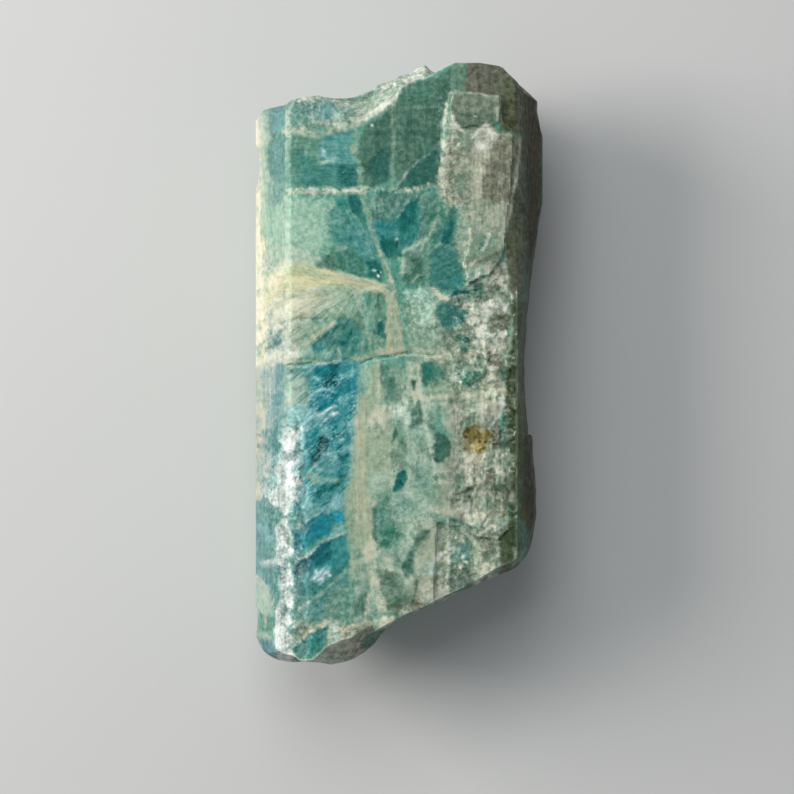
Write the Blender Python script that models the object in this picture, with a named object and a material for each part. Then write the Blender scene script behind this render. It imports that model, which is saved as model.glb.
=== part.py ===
"""A broken aquamarine crystal: one flattened six-sided prism of beryl, lying on a prism face.

X runs across the broad face, Y along the prism and Z up from the face that it lies on.
Lengths below are in millimetres, and MM turns them into metres. The crystal is a prism cut by the
two breaks that end it, by a fall along its right side, and by the chips and ledges on its faces.
"""

import math

import bmesh
import bpy
import numpy as np
from mathutils import Matrix, Vector, noise

MM = 0.001

# Driving dimensions of the prism.
LENGTH = 73.0
WIDTH = 35.0
DEPTH = 20.0
FACE_TURN = math.radians(60)  # beryl: each prism face turns this far from the next
PLATE_THICKNESS = 0.45  # the raised growth plate on the broad face
SLAB_THICKNESS = 0.3  # the small square slab on that plate
BROAD_FACE = DEPTH - PLATE_THICKNESS - SLAB_THICKNESS
BROAD_LEFT, BROAD_RIGHT = -13.4, 14.1
EDGE_WEAR = 0.35  # flat worn on the long edges
LEFT_EDGE_WEAR = 0.8  # the wide pale flat between the broad face and the left face

# The breaks that end the prism, as (x, y): where each meets the broad face, its crest, which is the
# outline from above and lies at CREST_HEIGHT, and where it meets the resting face.
TOP_FRONT = [
    (-17.9, 29.6), (-17.2, 29.9), (-16.3, 30.7), (-13.6, 31.4), (-11.9, 31.9), (-9.6, 32.2),
    (-7.9, 31.5), (-6.4, 29.6), (-4.4, 29.5), (-2.5, 30.3), (-0.8, 31.4), (0.0, 32.7), (1.3, 33.7),
    (3.2, 34.3), (4.9, 35.2), (6.7, 36.1), (9.7, 36.1), (12.1, 35.7), (14.0, 34.0), (15.7, 32.1),
    (17.6, 29.5),
]
TOP_CREST = [
    (-17.9, 29.7), (-17.2, 30.1), (-16.3, 30.8), (-13.6, 31.5), (-11.9, 32.0), (-9.6, 32.5),
    (-7.7, 32.2), (-5.6, 32.3), (-3.5, 33.1), (-2.6, 33.8), (-0.7, 34.4), (0.1, 35.0), (1.2, 35.2),
    (2.2, 35.9), (3.2, 36.3), (3.8, 35.6), (4.7, 35.3), (6.7, 36.2), (9.7, 36.3), (10.2, 36.5),
    (10.8, 36.2), (12.5, 36.1), (14.0, 34.4), (16.1, 32.5), (17.0, 31.5), (17.6, 29.7),
]
BASE_FRONT = [
    (-17.9, -32.2), (-17.5, -33.2), (-16.7, -34.1), (-15.5, -35.1), (-13.6, -35.9), (-11.6, -35.8),
    (-10.2, -35.5), (-8.5, -33.9), (-7.1, -33.3), (-5.6, -32.8), (-4.0, -31.6), (-3.1, -31.4),
    (-2.9, -32.1), (-0.6, -30.8), (1.6, -29.7), (3.2, -29.1), (5.0, -28.1), (7.3, -27.1),
    (9.5, -25.9), (11.8, -24.5), (13.6, -23.8), (15.0, -22.4), (16.2, -20.0), (17.6, -16.4),
]
BASE_CREST = [
    (-17.9, -32.5), (-17.5, -33.4), (-16.8, -34.4), (-16.0, -35.2), (-14.8, -35.9), (-13.3, -36.2),
    (-11.3, -36.1), (-9.5, -36.3), (-8.2, -36.5), (-6.7, -36.2), (-5.4, -35.8), (-4.2, -35.0),
    (-3.1, -34.1), (-2.2, -32.9), (-1.3, -32.0), (-0.2, -31.1), (1.6, -30.3), (3.5, -29.6),
    (5.0, -29.1), (6.7, -28.0), (8.5, -27.3), (9.7, -26.7), (11.6, -25.9), (13.6, -25.1),
    (14.5, -24.5), (15.5, -23.2), (16.2, -21.5), (17.6, -19.4),
]
TOP_BACK = [(-18, 24.5), (-10, 27.0), (-6, 29.0), (-1, 28.2), (3, 31.0), (7, 32.4), (12, 30.0), (18, 27.0)]
BASE_BACK = [(-18, -29.0), (-10, -31.5), (-6, -33.0), (-2, -30.6), (3, -26.0), (8, -23.4), (18, -17.5)]
CREST_HEIGHT = 14.0

# The right side, as (y, x): a long shallow fall with a step below it.
RIGHT_OUTLINE = [
    (-37.0, 12.0), (-24.8, 14.5), (-23.0, 15.8), (-20.6, 16.3), (-18.2, 16.7), (-15.8, 16.7),
    (-12.2, 16.4), (-8.7, 16.2), (-8.2, 15.7), (-4.4, 15.4), (0.4, 15.2), (5.2, 15.6), (10.0, 16.0),
    (14.2, 16.6), (18.4, 17.2), (21.4, 17.8), (26.6, 17.8), (28.3, 17.2), (30.9, 16.8), (37.0, 17.2),
]
RIGHT_LEAN = 0.2

# Forms on the broad face, as outlines (x, y).
PLATE = [
    (5.8, 31.3), (6.2, 32.5), (9.5, 32.6), (12.2, 32.2), (12.5, 29.1), (13.8, 27.9), (13.7, 25.6),
    (13.5, 21.4), (13.0, 17.0), (12.5, 12.7), (10.4, 10.1), (8.5, 9.3), (7.7, 11.5), (8.5, 14.8),
    (8.3, 16.5), (6.8, 18.7), (5.6, 20.1), (4.8, 22.5), (5.2, 25.6), (5.5, 29.5),
]
SLAB = [
    (6.3, 32.4), (8.6, 32.5), (10.9, 32.5), (12.1, 32.2), (12.2, 30.6), (12.0, 29.0), (10.8, 28.4),
    (8.9, 28.5), (7.4, 28.1), (6.4, 28.6), (6.1, 30.2),
]
LOW_LEDGE = [
    (4.6, -19.1), (7.4, -19.7), (9.2, -20.7), (11.8, -21.2), (13.6, -19.6), (19.0, -18.8),
    (19.3, -28.4), (3.7, -34.2), (4.2, -28.4),
]
LOW_LEDGE_DEPTH = 0.45

# The crack across the broad face, as the points (x, y) that it runs through.
CRACK = [
    (-13.6, -0.1), (-12.2, -0.2), (-11.2, -0.1), (-9.1, 0.2), (-7.3, 0.4), (-6.5, 0.7), (-5.5, 0.3),
    (-4.7, 0.0), (-2.8, 0.7), (-1.6, 0.9), (-0.6, 1.0), (0.7, 1.3), (1.6, 1.3), (3.2, 1.0), (5.0, 0.9),
]
CRACK_WIDTH = 0.22
CRACK_DEPTH = 0.4

# The band worn along the lower half of the left front edge: how deep it goes, as (y, depth), and
# the scars on it, as (distance across the band, y, radius, depth).
LEFT_WEAR_Y = (-39.0, -4.0)
LEFT_WEAR_HALF_WIDTH = 3.6
LEFT_WEAR = [(-38.0, 1.1), (-30.0, 1.1), (-20.0, 1.0), (-12.0, 0.9), (-7.0, 0.55), (-4.0, 0.1)]
LEFT_SCARS = [
    (0.5, -7.6, 2.0, 0.35), (-0.7, -9.4, 1.6, 0.4), (0.8, -11.4, 2.2, 0.45), (-0.4, -13.6, 1.9, 0.4),
    (0.9, -15.4, 2.0, 0.35), (-0.9, -17.2, 2.3, 0.5), (0.6, -19.3, 1.9, 0.35), (-0.5, -21.6, 2.4, 0.5),
    (0.9, -24.0, 2.1, 0.4), (-0.8, -26.2, 2.0, 0.45), (0.4, -28.4, 2.2, 0.4), (-0.7, -30.7, 2.3, 0.5),
    (0.7, -33.2, 2.4, 0.5),
]

# The rough field on the right half of the broad face: the box that it lies in, its left boundary as
# (y, x), how it fades in from there, its shallowest depth, and its scars, as (x, y, radius, depth).
FIELD_Y = (-21.5, 10.5)
FIELD_X = (3.4, 16.2)
FIELD_FADE = 1.6
FIELD_SHALLOWEST = 0.08
ROUGH_LEFT = [
    (-22.0, 9.0), (-19.0, 6.2), (-16.0, 5.4), (-10.0, 5.8), (-5.0, 6.2), (-1.0, 5.0), (3.0, 4.6),
    (7.0, 5.0), (9.0, 7.2), (11.0, 11.0),
]
ROUGH_SCARS = [
    (7.6, 6.6, 2.8, 0.45), (10.8, 7.6, 2.4, 0.5), (13.2, 5.6, 2.6, 0.8), (9.6, 3.6, 2.6, 0.5),
    (6.4, 2.6, 2.2, 0.35), (12.6, 1.6, 2.7, 0.7), (8.6, 0.2, 2.3, 0.4), (13.6, -2.8, 3.0, 0.8),
    (10.4, -3.0, 2.4, 0.5), (7.2, -4.2, 2.2, 0.35), (12.4, -7.0, 2.9, 0.6), (9.2, -8.0, 2.5, 0.4),
    (14.0, -11.0, 3.0, 0.8), (11.0, -12.2, 2.6, 0.5), (7.6, -13.0, 2.4, 0.35), (13.4, -15.6, 2.6, 0.6),
    (9.6, -16.6, 2.6, 0.45), (12.0, -18.4, 2.2, 0.4),
]

# Forms on the hidden faces, as outlines (distance along the face from its upper edge, y).
LEFT_BACK_LEDGE = [
    (5.0, 20.0), (9.0, 18.0), (20.0, 22.0), (20.0, -8.0), (10.0, -11.0), (7.0, -6.0), (8.0, 1.0),
    (5.5, 8.0),
]
RIGHT_BACK_LEDGE = [
    (7.0, 3.0), (11.0, 6.0), (20.0, 1.5), (20.0, -40.0), (4.0, -40.0), (6.0, -28.0), (8.5, -19.0),
    (7.5, -8.0),
]
BACK_LEDGE_DEPTH = 0.6

# Shell-shaped chips: (x, y, z) of the middle of the scar, the way out of it, radius and depth.
CHIPS = [
    ((-17.4, 24.0, 12.5), (-1.0, 0.0, 0.1), 9.0, 0.45),
    ((-17.5, -29.5, 12.8), (-1.0, -0.3, 0.2), 6.0, 0.3),
    ((14.4, 18.0, 18.6), (0.8, 0.0, 1.0), 7.0, 0.5),
    ((-10.2, -24.0, 0.2), (-0.8, 0.0, -1.0), 6.0, 0.8),
    ((-10.3, 12.0, 0.2), (-0.9, 0.2, -1.0), 4.5, 0.7),
    ((9.4, 20.0, 0.2), (0.9, 0.0, -1.0), 6.5, 0.9),
    ((9.3, -14.0, 0.2), (0.8, 0.1, -1.0), 4.0, 0.6),
]

# Shell-shaped scars on the breaks: how many, how wide and how deep. Their middles are spread by a
# golden-ratio rule that starts at a different place for each end.
SCAR_COUNT = 16
SCAR_RADIUS = 5.6
SCAR_DEPTH = 1.5
SCAR_STEP_X, SCAR_STEP_Z = 0.7548777, 0.5698403
TOP_START, BASE_START = 0.31, 0.83
CREST_KEPT = 4.0  # scars fade out over this distance from the crest line
FRONT_KEPT = 2.0  # and over this distance from the broad face
RIPPLE_HEIGHT = 0.25
END_RIPPLES, SIDE_RIPPLES, FACE_RIPPLES = 0.5, 0.35, 0.8  # ripples to the millimetre

# How finely the cutters' rough sides are drawn, in steps one way and the other.
END_STEPS = (52, 22)
RIGHT_STEPS = (64, 9)
EDGE_STEPS = (44, 8)
FIELD_STEPS = (44, 16)
CLEARANCE = 1.5  # how far a cutter stands past what it cuts
END_X = (-WIDTH / 2 - CLEARANCE, WIDTH / 2 + CLEARANCE)
END_Z = (-CLEARANCE, DEPTH + CLEARANCE)
END_REACH = 30.0  # longer than the prism runs on past the lowest point of a break


def prism_section():
    """The six corners (x, z) of the cross-section, from the broad face's left end, turning left."""
    slope = math.tan(FACE_TURN)
    half = WIDTH / 2
    left_corner = BROAD_FACE - (BROAD_LEFT + half) * slope
    right_corner = BROAD_FACE - (half - BROAD_RIGHT) * slope
    return [
        (BROAD_LEFT, BROAD_FACE),
        (-half, left_corner),
        (-half + left_corner / slope, 0.0),
        (half - right_corner / slope, 0.0),
        (half, right_corner),
        (BROAD_RIGHT, BROAD_FACE),
    ]


def worn_section(corners):
    """The section with each corner cut back to the flat that wear has left on that long edge."""
    worn = []
    for i, corner in enumerate(corners):
        here = Vector(corner)
        wear = LEFT_EDGE_WEAR if i == 0 else EDGE_WEAR
        for other in (corners[i - 1], corners[(i + 1) % len(corners)]):
            toward = (Vector(other) - here).normalized()
            worn.append(tuple(here + toward * wear / 2))
    return worn


def flat_shape(name, outline, thickness):
    """A flat outline in XY, extruded to a thickness centred on z = 0, as a mesh object."""
    curve = bpy.data.curves.new(name, "CURVE")
    curve.dimensions = "2D"
    curve.fill_mode = "BOTH"
    curve.extrude = thickness / 2 * MM
    spline = curve.splines.new("POLY")
    spline.points.add(len(outline) - 1)
    for point, (u, v) in zip(spline.points, outline):
        point.co = (u * MM, v * MM, 0, 1)
    spline.use_cyclic_u = True
    guide = bpy.data.objects.new(name + "_outline", curve)
    bpy.context.scene.collection.objects.link(guide)
    bpy.context.view_layer.update()
    evaluated = guide.evaluated_get(bpy.context.evaluated_depsgraph_get())
    mesh = bpy.data.meshes.new_from_object(evaluated)
    mesh.name = name
    bpy.data.objects.remove(guide)
    weld(mesh)
    return bpy.data.objects.new(name, mesh)


def weld(mesh):
    """Joins a mesh's loose caps to its sides and turns every face outwards."""
    bm = bmesh.new()
    bm.from_mesh(mesh)
    bmesh.ops.remove_doubles(bm, verts=bm.verts, dist=0.001 * MM)
    bmesh.ops.recalc_face_normals(bm, faces=bm.faces)
    bm.to_mesh(mesh)
    bm.free()


def rough_block(name, surface, u_span, v_span, steps, away):
    """A solid whose near side is surface(u, v) in millimetres, carried back along away."""
    bm = bmesh.new()
    bmesh.ops.create_grid(bm, x_segments=steps[0], y_segments=steps[1], size=0.5)
    for vert in bm.verts:
        u = u_span[0] + (vert.co.x + 0.5) * (u_span[1] - u_span[0])
        v = v_span[0] + (vert.co.y + 0.5) * (v_span[1] - v_span[0])
        vert.co = Vector(surface(u, v)) * MM
    carried = bmesh.ops.extrude_face_region(bm, geom=bm.faces[:])["geom"]
    corners = [item for item in carried if isinstance(item, bmesh.types.BMVert)]
    bmesh.ops.translate(bm, verts=corners, vec=Vector(away) * MM)
    bmesh.ops.recalc_face_normals(bm, faces=bm.faces)
    mesh = bpy.data.meshes.new(name)
    bm.to_mesh(mesh)
    bm.free()
    return bpy.data.objects.new(name, mesh)


def along(outline, x):
    """The height of an outline above x, straight between its points."""
    xs, ys = zip(*outline)
    return float(np.interp(x, xs, ys))


def rippling(point, ripples):
    """The depth of the fine ripples at a point, from 0 to about RIPPLE_HEIGHT."""
    return RIPPLE_HEIGHT * abs(noise.fractal(Vector(point) * ripples, 0.7, 2.0, 3))


def scar_centres(start):
    """Middles (x, z) of the shell-shaped scars of one break, evenly spread."""
    spread = [((start + i * SCAR_STEP_X) % 1, (start + i * SCAR_STEP_Z) % 1) for i in range(SCAR_COUNT)]
    return [(WIDTH * (a - 0.5), DEPTH * b) for a, b in spread]


def break_height(x, z, front, crest, back, centres):
    """y of a break over (x, z), for the top end: from its crest to the broad face and to the back.

    Shell-shaped scars are sunk in it, so that sharp crests stay between them, and fine ripples ride
    on it. Both fade out at the crest line, which keeps the outline.
    """
    y_crest = along(crest, x)
    if z > CREST_HEIGHT:
        share = min(1.0, (z - CREST_HEIGHT) / (BROAD_FACE - CREST_HEIGHT)) ** 2
        y = y_crest + share * (along(front, x) - y_crest)
    else:
        share = (1 - z / CREST_HEIGHT) ** 1.5
        y = y_crest + share * (along(back, x) - y_crest)
    nearest = min(math.hypot(x - cx, z - cz) for cx, cz in centres)
    scar = SCAR_DEPTH * max(0.0, 1 - (nearest / SCAR_RADIUS) ** 2)
    ripple = rippling((x, z, centres[0][0]), END_RIPPLES)
    off_crest = min(1.0, abs(z - CREST_HEIGHT) / CREST_KEPT)
    off_front = min(1.0, max(0.0, BROAD_FACE - z) / FRONT_KEPT)
    return y - (scar + ripple) * off_crest * off_front


def top_break():
    """What was broken away above the crystal's upper end."""
    centres = scar_centres(TOP_START)

    def surface(x, z):
        return x, break_height(x, z, TOP_FRONT, TOP_CREST, TOP_BACK, centres), z

    return rough_block("top_break", surface, END_X, END_Z, END_STEPS, (0, END_REACH, 0))


def base_break():
    """What was broken away below the crystal's lower end: the same rule, upside down."""
    centres = scar_centres(BASE_START)
    front, crest, back = ([(x, -y) for x, y in line] for line in (BASE_FRONT, BASE_CREST, BASE_BACK))

    def surface(x, z):
        return x, -break_height(x, z, front, crest, back, centres), z

    return rough_block("base_break", surface, END_X, END_Z, END_STEPS, (0, -END_REACH, 0))


def right_fall():
    """The long shallow break along the right side, leaning in towards the broad face."""
    def surface(y, z):
        lean = RIGHT_LEAN * max(0.0, z - CREST_HEIGHT)
        return along(RIGHT_OUTLINE, y) - lean - rippling((y, z, 7.0), SIDE_RIPPLES), y, z

    y_span = (-LENGTH / 2 - CLEARANCE, LENGTH / 2 + CLEARANCE)
    return rough_block("right_fall", surface, y_span, END_Z, RIGHT_STEPS, (WIDTH / 4, 0, 0))


def scarred(u, v, scars):
    """How deep the deepest of the scars is at (u, v)."""
    return max(d * (1 - ((u - a) ** 2 + (v - b) ** 2) / r ** 2) for a, b, r, d in scars)


def left_edge_wear():
    """What wear took from the left front edge: a block that faces halfway between the two faces."""
    out = Vector((-math.sin(FACE_TURN / 2), 0, math.cos(FACE_TURN / 2)))
    across = Vector((math.cos(FACE_TURN / 2), 0, math.sin(FACE_TURN / 2)))

    def surface(y, t):
        scar = max(0.0, scarred(t, y, LEFT_SCARS))
        scar += rippling((t, y, 3.0), FACE_RIPPLES)
        depth = along(LEFT_WEAR, y)
        depth += scar * min(1.0, 2 * depth)
        return Vector((BROAD_LEFT, y, BROAD_FACE)) + across * t - out * depth

    t_span = (-LEFT_WEAR_HALF_WIDTH, LEFT_WEAR_HALF_WIDTH)
    return rough_block("left_edge_wear", surface, LEFT_WEAR_Y, t_span, EDGE_STEPS, out * 4)


def rough_field():
    """What broke off the rough field: a block whose underside is scarred and stays clear elsewhere."""
    def surface(y, x):
        margin = min(x - along(ROUGH_LEFT, y), y - FIELD_Y[0], FIELD_Y[1] - y)
        inside = min(1.0, margin / FIELD_FADE)
        scar = max(FIELD_SHALLOWEST, scarred(x, y, ROUGH_SCARS)) + rippling((x, y, 5.0), FACE_RIPPLES)
        return x, y, BROAD_FACE - (scar * inside if inside > 0 else inside)

    y_span = (FIELD_Y[0] - CLEARANCE, FIELD_Y[1] + CLEARANCE)
    return rough_block("rough_field", surface, y_span, FIELD_X, FIELD_STEPS, (0, 0, 5))


def crack():
    """The crack as a thin upright ribbon along its points."""
    steps = zip(CRACK[:-1], CRACK[1:])
    sides = [Vector((a[1] - b[1], b[0] - a[0])).normalized() for a, b in steps]
    sides = [sides[0]] + [(m + n).normalized() for m, n in zip(sides[:-1], sides[1:])] + [sides[-1]]
    edge = [Vector(p) + side * CRACK_WIDTH / 2 for p, side in zip(CRACK, sides)]
    back = [Vector(p) - side * CRACK_WIDTH / 2 for p, side in zip(CRACK, sides)]
    ribbon = flat_shape("crack", edge + back[::-1], 2 * CRACK_DEPTH)
    ribbon.location.z = BROAD_FACE * MM
    return ribbon


def shell_chip(name, middle, outward, radius, depth):
    """A slightly uneven ball that bites a shell-shaped scar of that depth."""
    bm = bmesh.new()
    bmesh.ops.create_icosphere(bm, subdivisions=4, radius=radius * MM)
    for vert in bm.verts:
        unevenness = noise.noise(vert.co / MM * 0.45 + Vector(middle))
        vert.co *= 1 + 0.02 * unevenness
    mesh = bpy.data.meshes.new(name)
    bm.to_mesh(mesh)
    bm.free()
    chip = bpy.data.objects.new(name, mesh)
    centre = Vector(middle) + Vector(outward).normalized() * (radius - depth)
    chip.location = centre * MM
    return chip


def hidden_ledge(name, upper, lower, outline):
    """A thin layer split off a hidden face that runs from corner upper to corner lower (x, z)."""
    down = Vector((lower[0] - upper[0], 0, lower[1] - upper[1])).normalized()
    along_prism = Vector((0, 1, 0))
    out = down.cross(along_prism)
    if out.x * upper[0] < 0:
        out = -out
    layer = flat_shape(name, outline, 2 * BACK_LEDGE_DEPTH)
    placed = Matrix((down, along_prism, out)).transposed().to_4x4()
    placed.translation = Vector((upper[0], 0, upper[1])) * MM
    layer.matrix_world = placed
    return layer


def cut(body, cutter, operation="DIFFERENCE"):
    """Adds a Boolean of the cutter to the body, and files the cutter with the other helpers."""
    bpy.data.collections["cutters"].objects.link(cutter)
    cutter.hide_render = True
    cutter.display_type = "WIRE"
    modifier = body.modifiers.new(cutter.name, "BOOLEAN")
    modifier.operation = operation
    modifier.solver = "EXACT"
    modifier.object = cutter


def aquamarine():
    """The crystal's material: clear blue-green, milky where it is fractured."""
    material = bpy.data.materials.new("aquamarine")
    material.use_nodes = True
    shader = material.node_tree.nodes["Principled BSDF"]
    shader.inputs["Base Color"].default_value = (0.30, 0.62, 0.58, 1)
    shader.inputs["Roughness"].default_value = 0.22
    shader.inputs["Metallic"].default_value = 0.0
    shader.inputs["IOR"].default_value = 1.58
    shader.inputs["Transmission Weight"].default_value = 0.5
    return material


def build():
    for leftover in list(bpy.data.objects):
        bpy.data.objects.remove(leftover)
    for name in ("aquamarine", "cutters"):
        group = bpy.data.collections.new(name)
        bpy.context.scene.collection.children.link(group)

    corners = prism_section()
    crystal = flat_shape("aquamarine_crystal", worn_section(corners), LENGTH + 10)
    # The section is drawn in XY and stood up, so that it is extruded along Y.
    crystal.data.transform(Matrix.Rotation(math.radians(90), 4, "X"))
    crystal.data.materials.append(aquamarine())
    bpy.data.collections["aquamarine"].objects.link(crystal)

    plate = flat_shape("growth_plate", PLATE, 2 * PLATE_THICKNESS)
    plate.location.z = BROAD_FACE * MM
    cut(crystal, plate, "UNION")
    slab = flat_shape("slab", SLAB, 2 * SLAB_THICKNESS)
    slab.location.z = (BROAD_FACE + PLATE_THICKNESS) * MM
    cut(crystal, slab, "UNION")
    low_ledge = flat_shape("low_ledge", LOW_LEDGE, 2 * LOW_LEDGE_DEPTH)
    low_ledge.location.z = BROAD_FACE * MM
    cut(crystal, low_ledge)
    cut(crystal, hidden_ledge("left_back_ledge", corners[1], corners[2], LEFT_BACK_LEDGE))
    cut(crystal, hidden_ledge("right_back_ledge", corners[4], corners[3], RIGHT_BACK_LEDGE))
    for i, chip in enumerate(CHIPS):
        cut(crystal, shell_chip(f"chip_{i + 1}", *chip))
    cut(crystal, left_edge_wear())
    cut(crystal, rough_field())
    cut(crystal, crack())
    cut(crystal, right_fall())
    cut(crystal, top_break())
    cut(crystal, base_break())


build()
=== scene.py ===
"""The looks of a broken aquamarine crystal that lies on a prism face, broad face up.

X runs across the broad face, Y along the prism and Z up. Lengths are in millimetres up to the mesh,
and MM turns them into metres.
"""

import bpy
import numpy as np
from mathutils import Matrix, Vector


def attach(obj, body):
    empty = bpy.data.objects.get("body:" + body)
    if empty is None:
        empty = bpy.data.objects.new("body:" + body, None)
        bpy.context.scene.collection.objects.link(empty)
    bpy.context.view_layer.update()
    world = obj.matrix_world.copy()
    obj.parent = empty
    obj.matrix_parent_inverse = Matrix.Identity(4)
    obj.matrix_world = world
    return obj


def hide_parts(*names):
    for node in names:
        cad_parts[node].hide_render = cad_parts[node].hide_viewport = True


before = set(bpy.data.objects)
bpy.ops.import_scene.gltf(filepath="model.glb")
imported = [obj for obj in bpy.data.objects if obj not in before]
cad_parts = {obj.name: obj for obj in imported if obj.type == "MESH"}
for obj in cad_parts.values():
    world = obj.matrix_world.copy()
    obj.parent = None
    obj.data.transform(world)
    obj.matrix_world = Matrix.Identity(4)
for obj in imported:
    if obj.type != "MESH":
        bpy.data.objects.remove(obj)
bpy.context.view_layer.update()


# --- The prism -----------------------------------------------------------------------------------
# The crystal grew as one flattened six-sided prism of beryl. Its sides are the prism's own faces,
# and the long edges between them are worn to narrow flats.

MM = 0.001
DEPTH = 20.0
BROAD_FACE = 19.25  # height of the broad face, below its raised plate
BROAD_LEFT, BROAD_RIGHT = -13.4, 14.1
HALF_WIDTH = 17.5
FACE_SLOPE = np.tan(np.radians(60))  # beryl's prism faces meet at 120 degrees
EDGE_WEAR = 0.35  # width of the flat along each long edge
LEFT_EDGE_WEAR = 0.8
MIDDLE = np.array((-0.5, 10.0))  # the middle (x, z) of the section

left_z = BROAD_FACE - (BROAD_LEFT + HALF_WIDTH) * FACE_SLOPE
right_z = BROAD_FACE - (HALF_WIDTH - BROAD_RIGHT) * FACE_SLOPE
CORNERS = np.array((
    (BROAD_LEFT, BROAD_FACE), (-HALF_WIDTH, left_z), (-HALF_WIDTH + left_z / FACE_SLOPE, 0.0),
    (HALF_WIDTH - right_z / FACE_SLOPE, 0.0), (HALF_WIDTH, right_z), (BROAD_RIGHT, BROAD_FACE),
))
# Columns of the grid on each face in turn, from the left front face round to the broad face.
FACE_COLUMNS = (28, 17, 17, 17, 19, 138)
ROWS = 318


def section_ring():
    """Points (x, z) round the section: each face is a straight line of evenly spaced points between
    its worn ends, and the short flat at each corner runs from one face's last point to the next's
    first."""
    ring = []
    for i, count in enumerate(FACE_COLUMNS):
        start, end = CORNERS[i], CORNERS[(i + 1) % 6]
        way = (end - start) / np.linalg.norm(end - start)
        a = start + way * (LEFT_EDGE_WEAR if i == 0 else EDGE_WEAR) / 2
        b = end - way * (LEFT_EDGE_WEAR if i == 5 else EDGE_WEAR) / 2
        ring.append(a + (b - a) * (np.arange(count) / (count - 1))[:, None])
    return np.concatenate(ring)


# Large primes, which scatter neighbouring cells and seeds.
CELL_PRIMES = (374761393, 668265263, 2147483647)
SEED_PRIME = 974634777
OCTAVE = 2.03  # how much finer each layer of noise is than the one before


def scrambled(number):
    """A number from -1 to 1 for each whole number, by shifts and multiplications."""
    number = number & 0xFFFFFFFF
    number = ((number ^ (number >> 13)) * 1274126177) & 0xFFFFFFFF
    number = ((number ^ (number >> 15)) * 2246822519) & 0xFFFFFFFF
    return (number ^ (number >> 16)) / 2147483648.0 - 1.0


def noise(x, y, z, seed):
    """Smooth value noise from -1 to 1: a scrambled whole number at each lattice corner, blended over
    the cell with the fifth-power ease curve."""
    corner = [np.floor(a) for a in (x, y, z)]
    ease = [a - c for a, c in zip((x, y, z), corner)]
    ease = [f * f * f * (f * (f * 6 - 15) + 10) for f in ease]
    total = 0
    for step in np.ndindex(2, 2, 2):
        weight, mixed = 1, seed * SEED_PRIME
        for c, f, s, prime in zip(corner, ease, step, CELL_PRIMES):
            weight = weight * (f if s else 1 - f)
            mixed = mixed + (c + s).astype(np.int64) * prime
        total = total + weight * scrambled(mixed)
    return total


def layered(x, y, z, octaves, seed, gain=0.5):
    """Noise summed over octaves, each about twice as fine and gain times as strong, from -1 to 1."""
    total = 0
    for o in range(octaves):
        finer = OCTAVE**o
        total = total + gain**o * noise(x * finer, y * finer, z * finer, seed + 17 * o)
    return total / sum(gain**o for o in range(octaves))


def rippled(x, y, scale, seed, level=0, octaves=3, gain=0.5):
    """Layered noise over a plane: (x, y) times scale, on the slice of the noise at level."""
    return layered(x * scale, y * scale, 0 * x + level, octaves, seed, gain)


def eased(low, high, value):
    """0 below low, 1 above high, and the cubic ease curve between."""
    t = np.clip((value - low) / (high - low), 0, 1)
    return t * t * (3 - 2 * t)


def along(outline, x):
    """The height of an outline above x, straight between its points."""
    xs, ys = zip(*outline)
    return np.interp(x, xs, ys)


# --- The two breaks ------------------------------------------------------------------------------
# Both ends are broken, not grown: rough shell-shaped fractures that run from the broad face over a
# crest to the resting face.

# Each break's line (x, y) along the broad face, along its crest and along the resting face.
TOP_FRONT = [(-17.9, 29.6), (-17.2, 29.9), (-16.3, 30.7), (-13.6, 31.4), (-11.9, 31.9), (-9.6, 32.2),
    (-7.9, 31.5), (-6.4, 29.6), (-4.4, 29.5), (-2.5, 30.3), (-0.8, 31.4), (0, 32.7), (1.3, 33.7),
    (3.2, 34.3), (4.9, 35.2), (6.7, 36.1), (9.7, 36.1), (12.1, 35.7), (14, 34), (15.7, 32.1), (17.6, 29.5)]
TOP_CREST = [(-17.9, 29.7), (-17.2, 30.1), (-16.3, 30.8), (-13.6, 31.5), (-11.9, 32), (-9.6, 32.5),
    (-7.7, 32.2), (-5.6, 32.3), (-3.5, 33.1), (-2.6, 33.8), (-0.7, 34.4), (0.1, 35), (1.2, 35.2),
    (2.2, 35.9), (3.2, 36.3), (3.8, 35.6), (4.7, 35.3), (6.7, 36.2), (9.7, 36.3), (10.2, 36.5), (10.8, 36.2),
    (12.5, 36.1), (14, 34.4), (16.1, 32.5), (17, 31.5), (17.6, 29.7)]
TOP_BACK = [(-18, 24.5), (-10, 27), (-6, 29), (-1, 28.2), (3, 31), (7, 32.4), (12, 30), (18, 27)]
BASE_FRONT = [(-17.9, -32.2), (-17.5, -33.2), (-16.7, -34.1), (-15.5, -35.1), (-13.6, -35.9), (-11.6, -35.8),
    (-10.2, -35.5), (-8.5, -33.9), (-7.1, -33.3), (-5.6, -32.8), (-4, -31.6), (-3.1, -31.4), (-2.9, -32.1),
    (-0.6, -30.8), (1.6, -29.7), (3.2, -29.1), (5, -28.1), (7.3, -27.1), (9.5, -25.9), (11.8, -24.5),
    (13.6, -23.8), (15, -22.4), (16.2, -20), (17.6, -16.4)]
BASE_CREST = [(-17.9, -32.5), (-17.5, -33.4), (-16.8, -34.4), (-16, -35.2), (-14.8, -35.9), (-13.3, -36.2),
    (-11.3, -36.1), (-9.5, -36.3), (-8.2, -36.5), (-6.7, -36.2), (-5.4, -35.8), (-4.2, -35), (-3.1, -34.1),
    (-2.2, -32.9), (-1.3, -32), (-0.2, -31.1), (1.6, -30.3), (3.5, -29.6), (5, -29.1), (6.7, -28),
    (8.5, -27.3), (9.7, -26.7), (11.6, -25.9), (13.6, -25.1), (14.5, -24.5), (15.5, -23.2), (16.2, -21.5),
    (17.6, -19.4)]
BASE_BACK = [(-18, -29.0), (-10, -31.5), (-6, -33.0), (-2, -30.6), (3, -26.0), (8, -23.4), (18, -17.5)]
CREST_HEIGHT = 14.0
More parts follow.
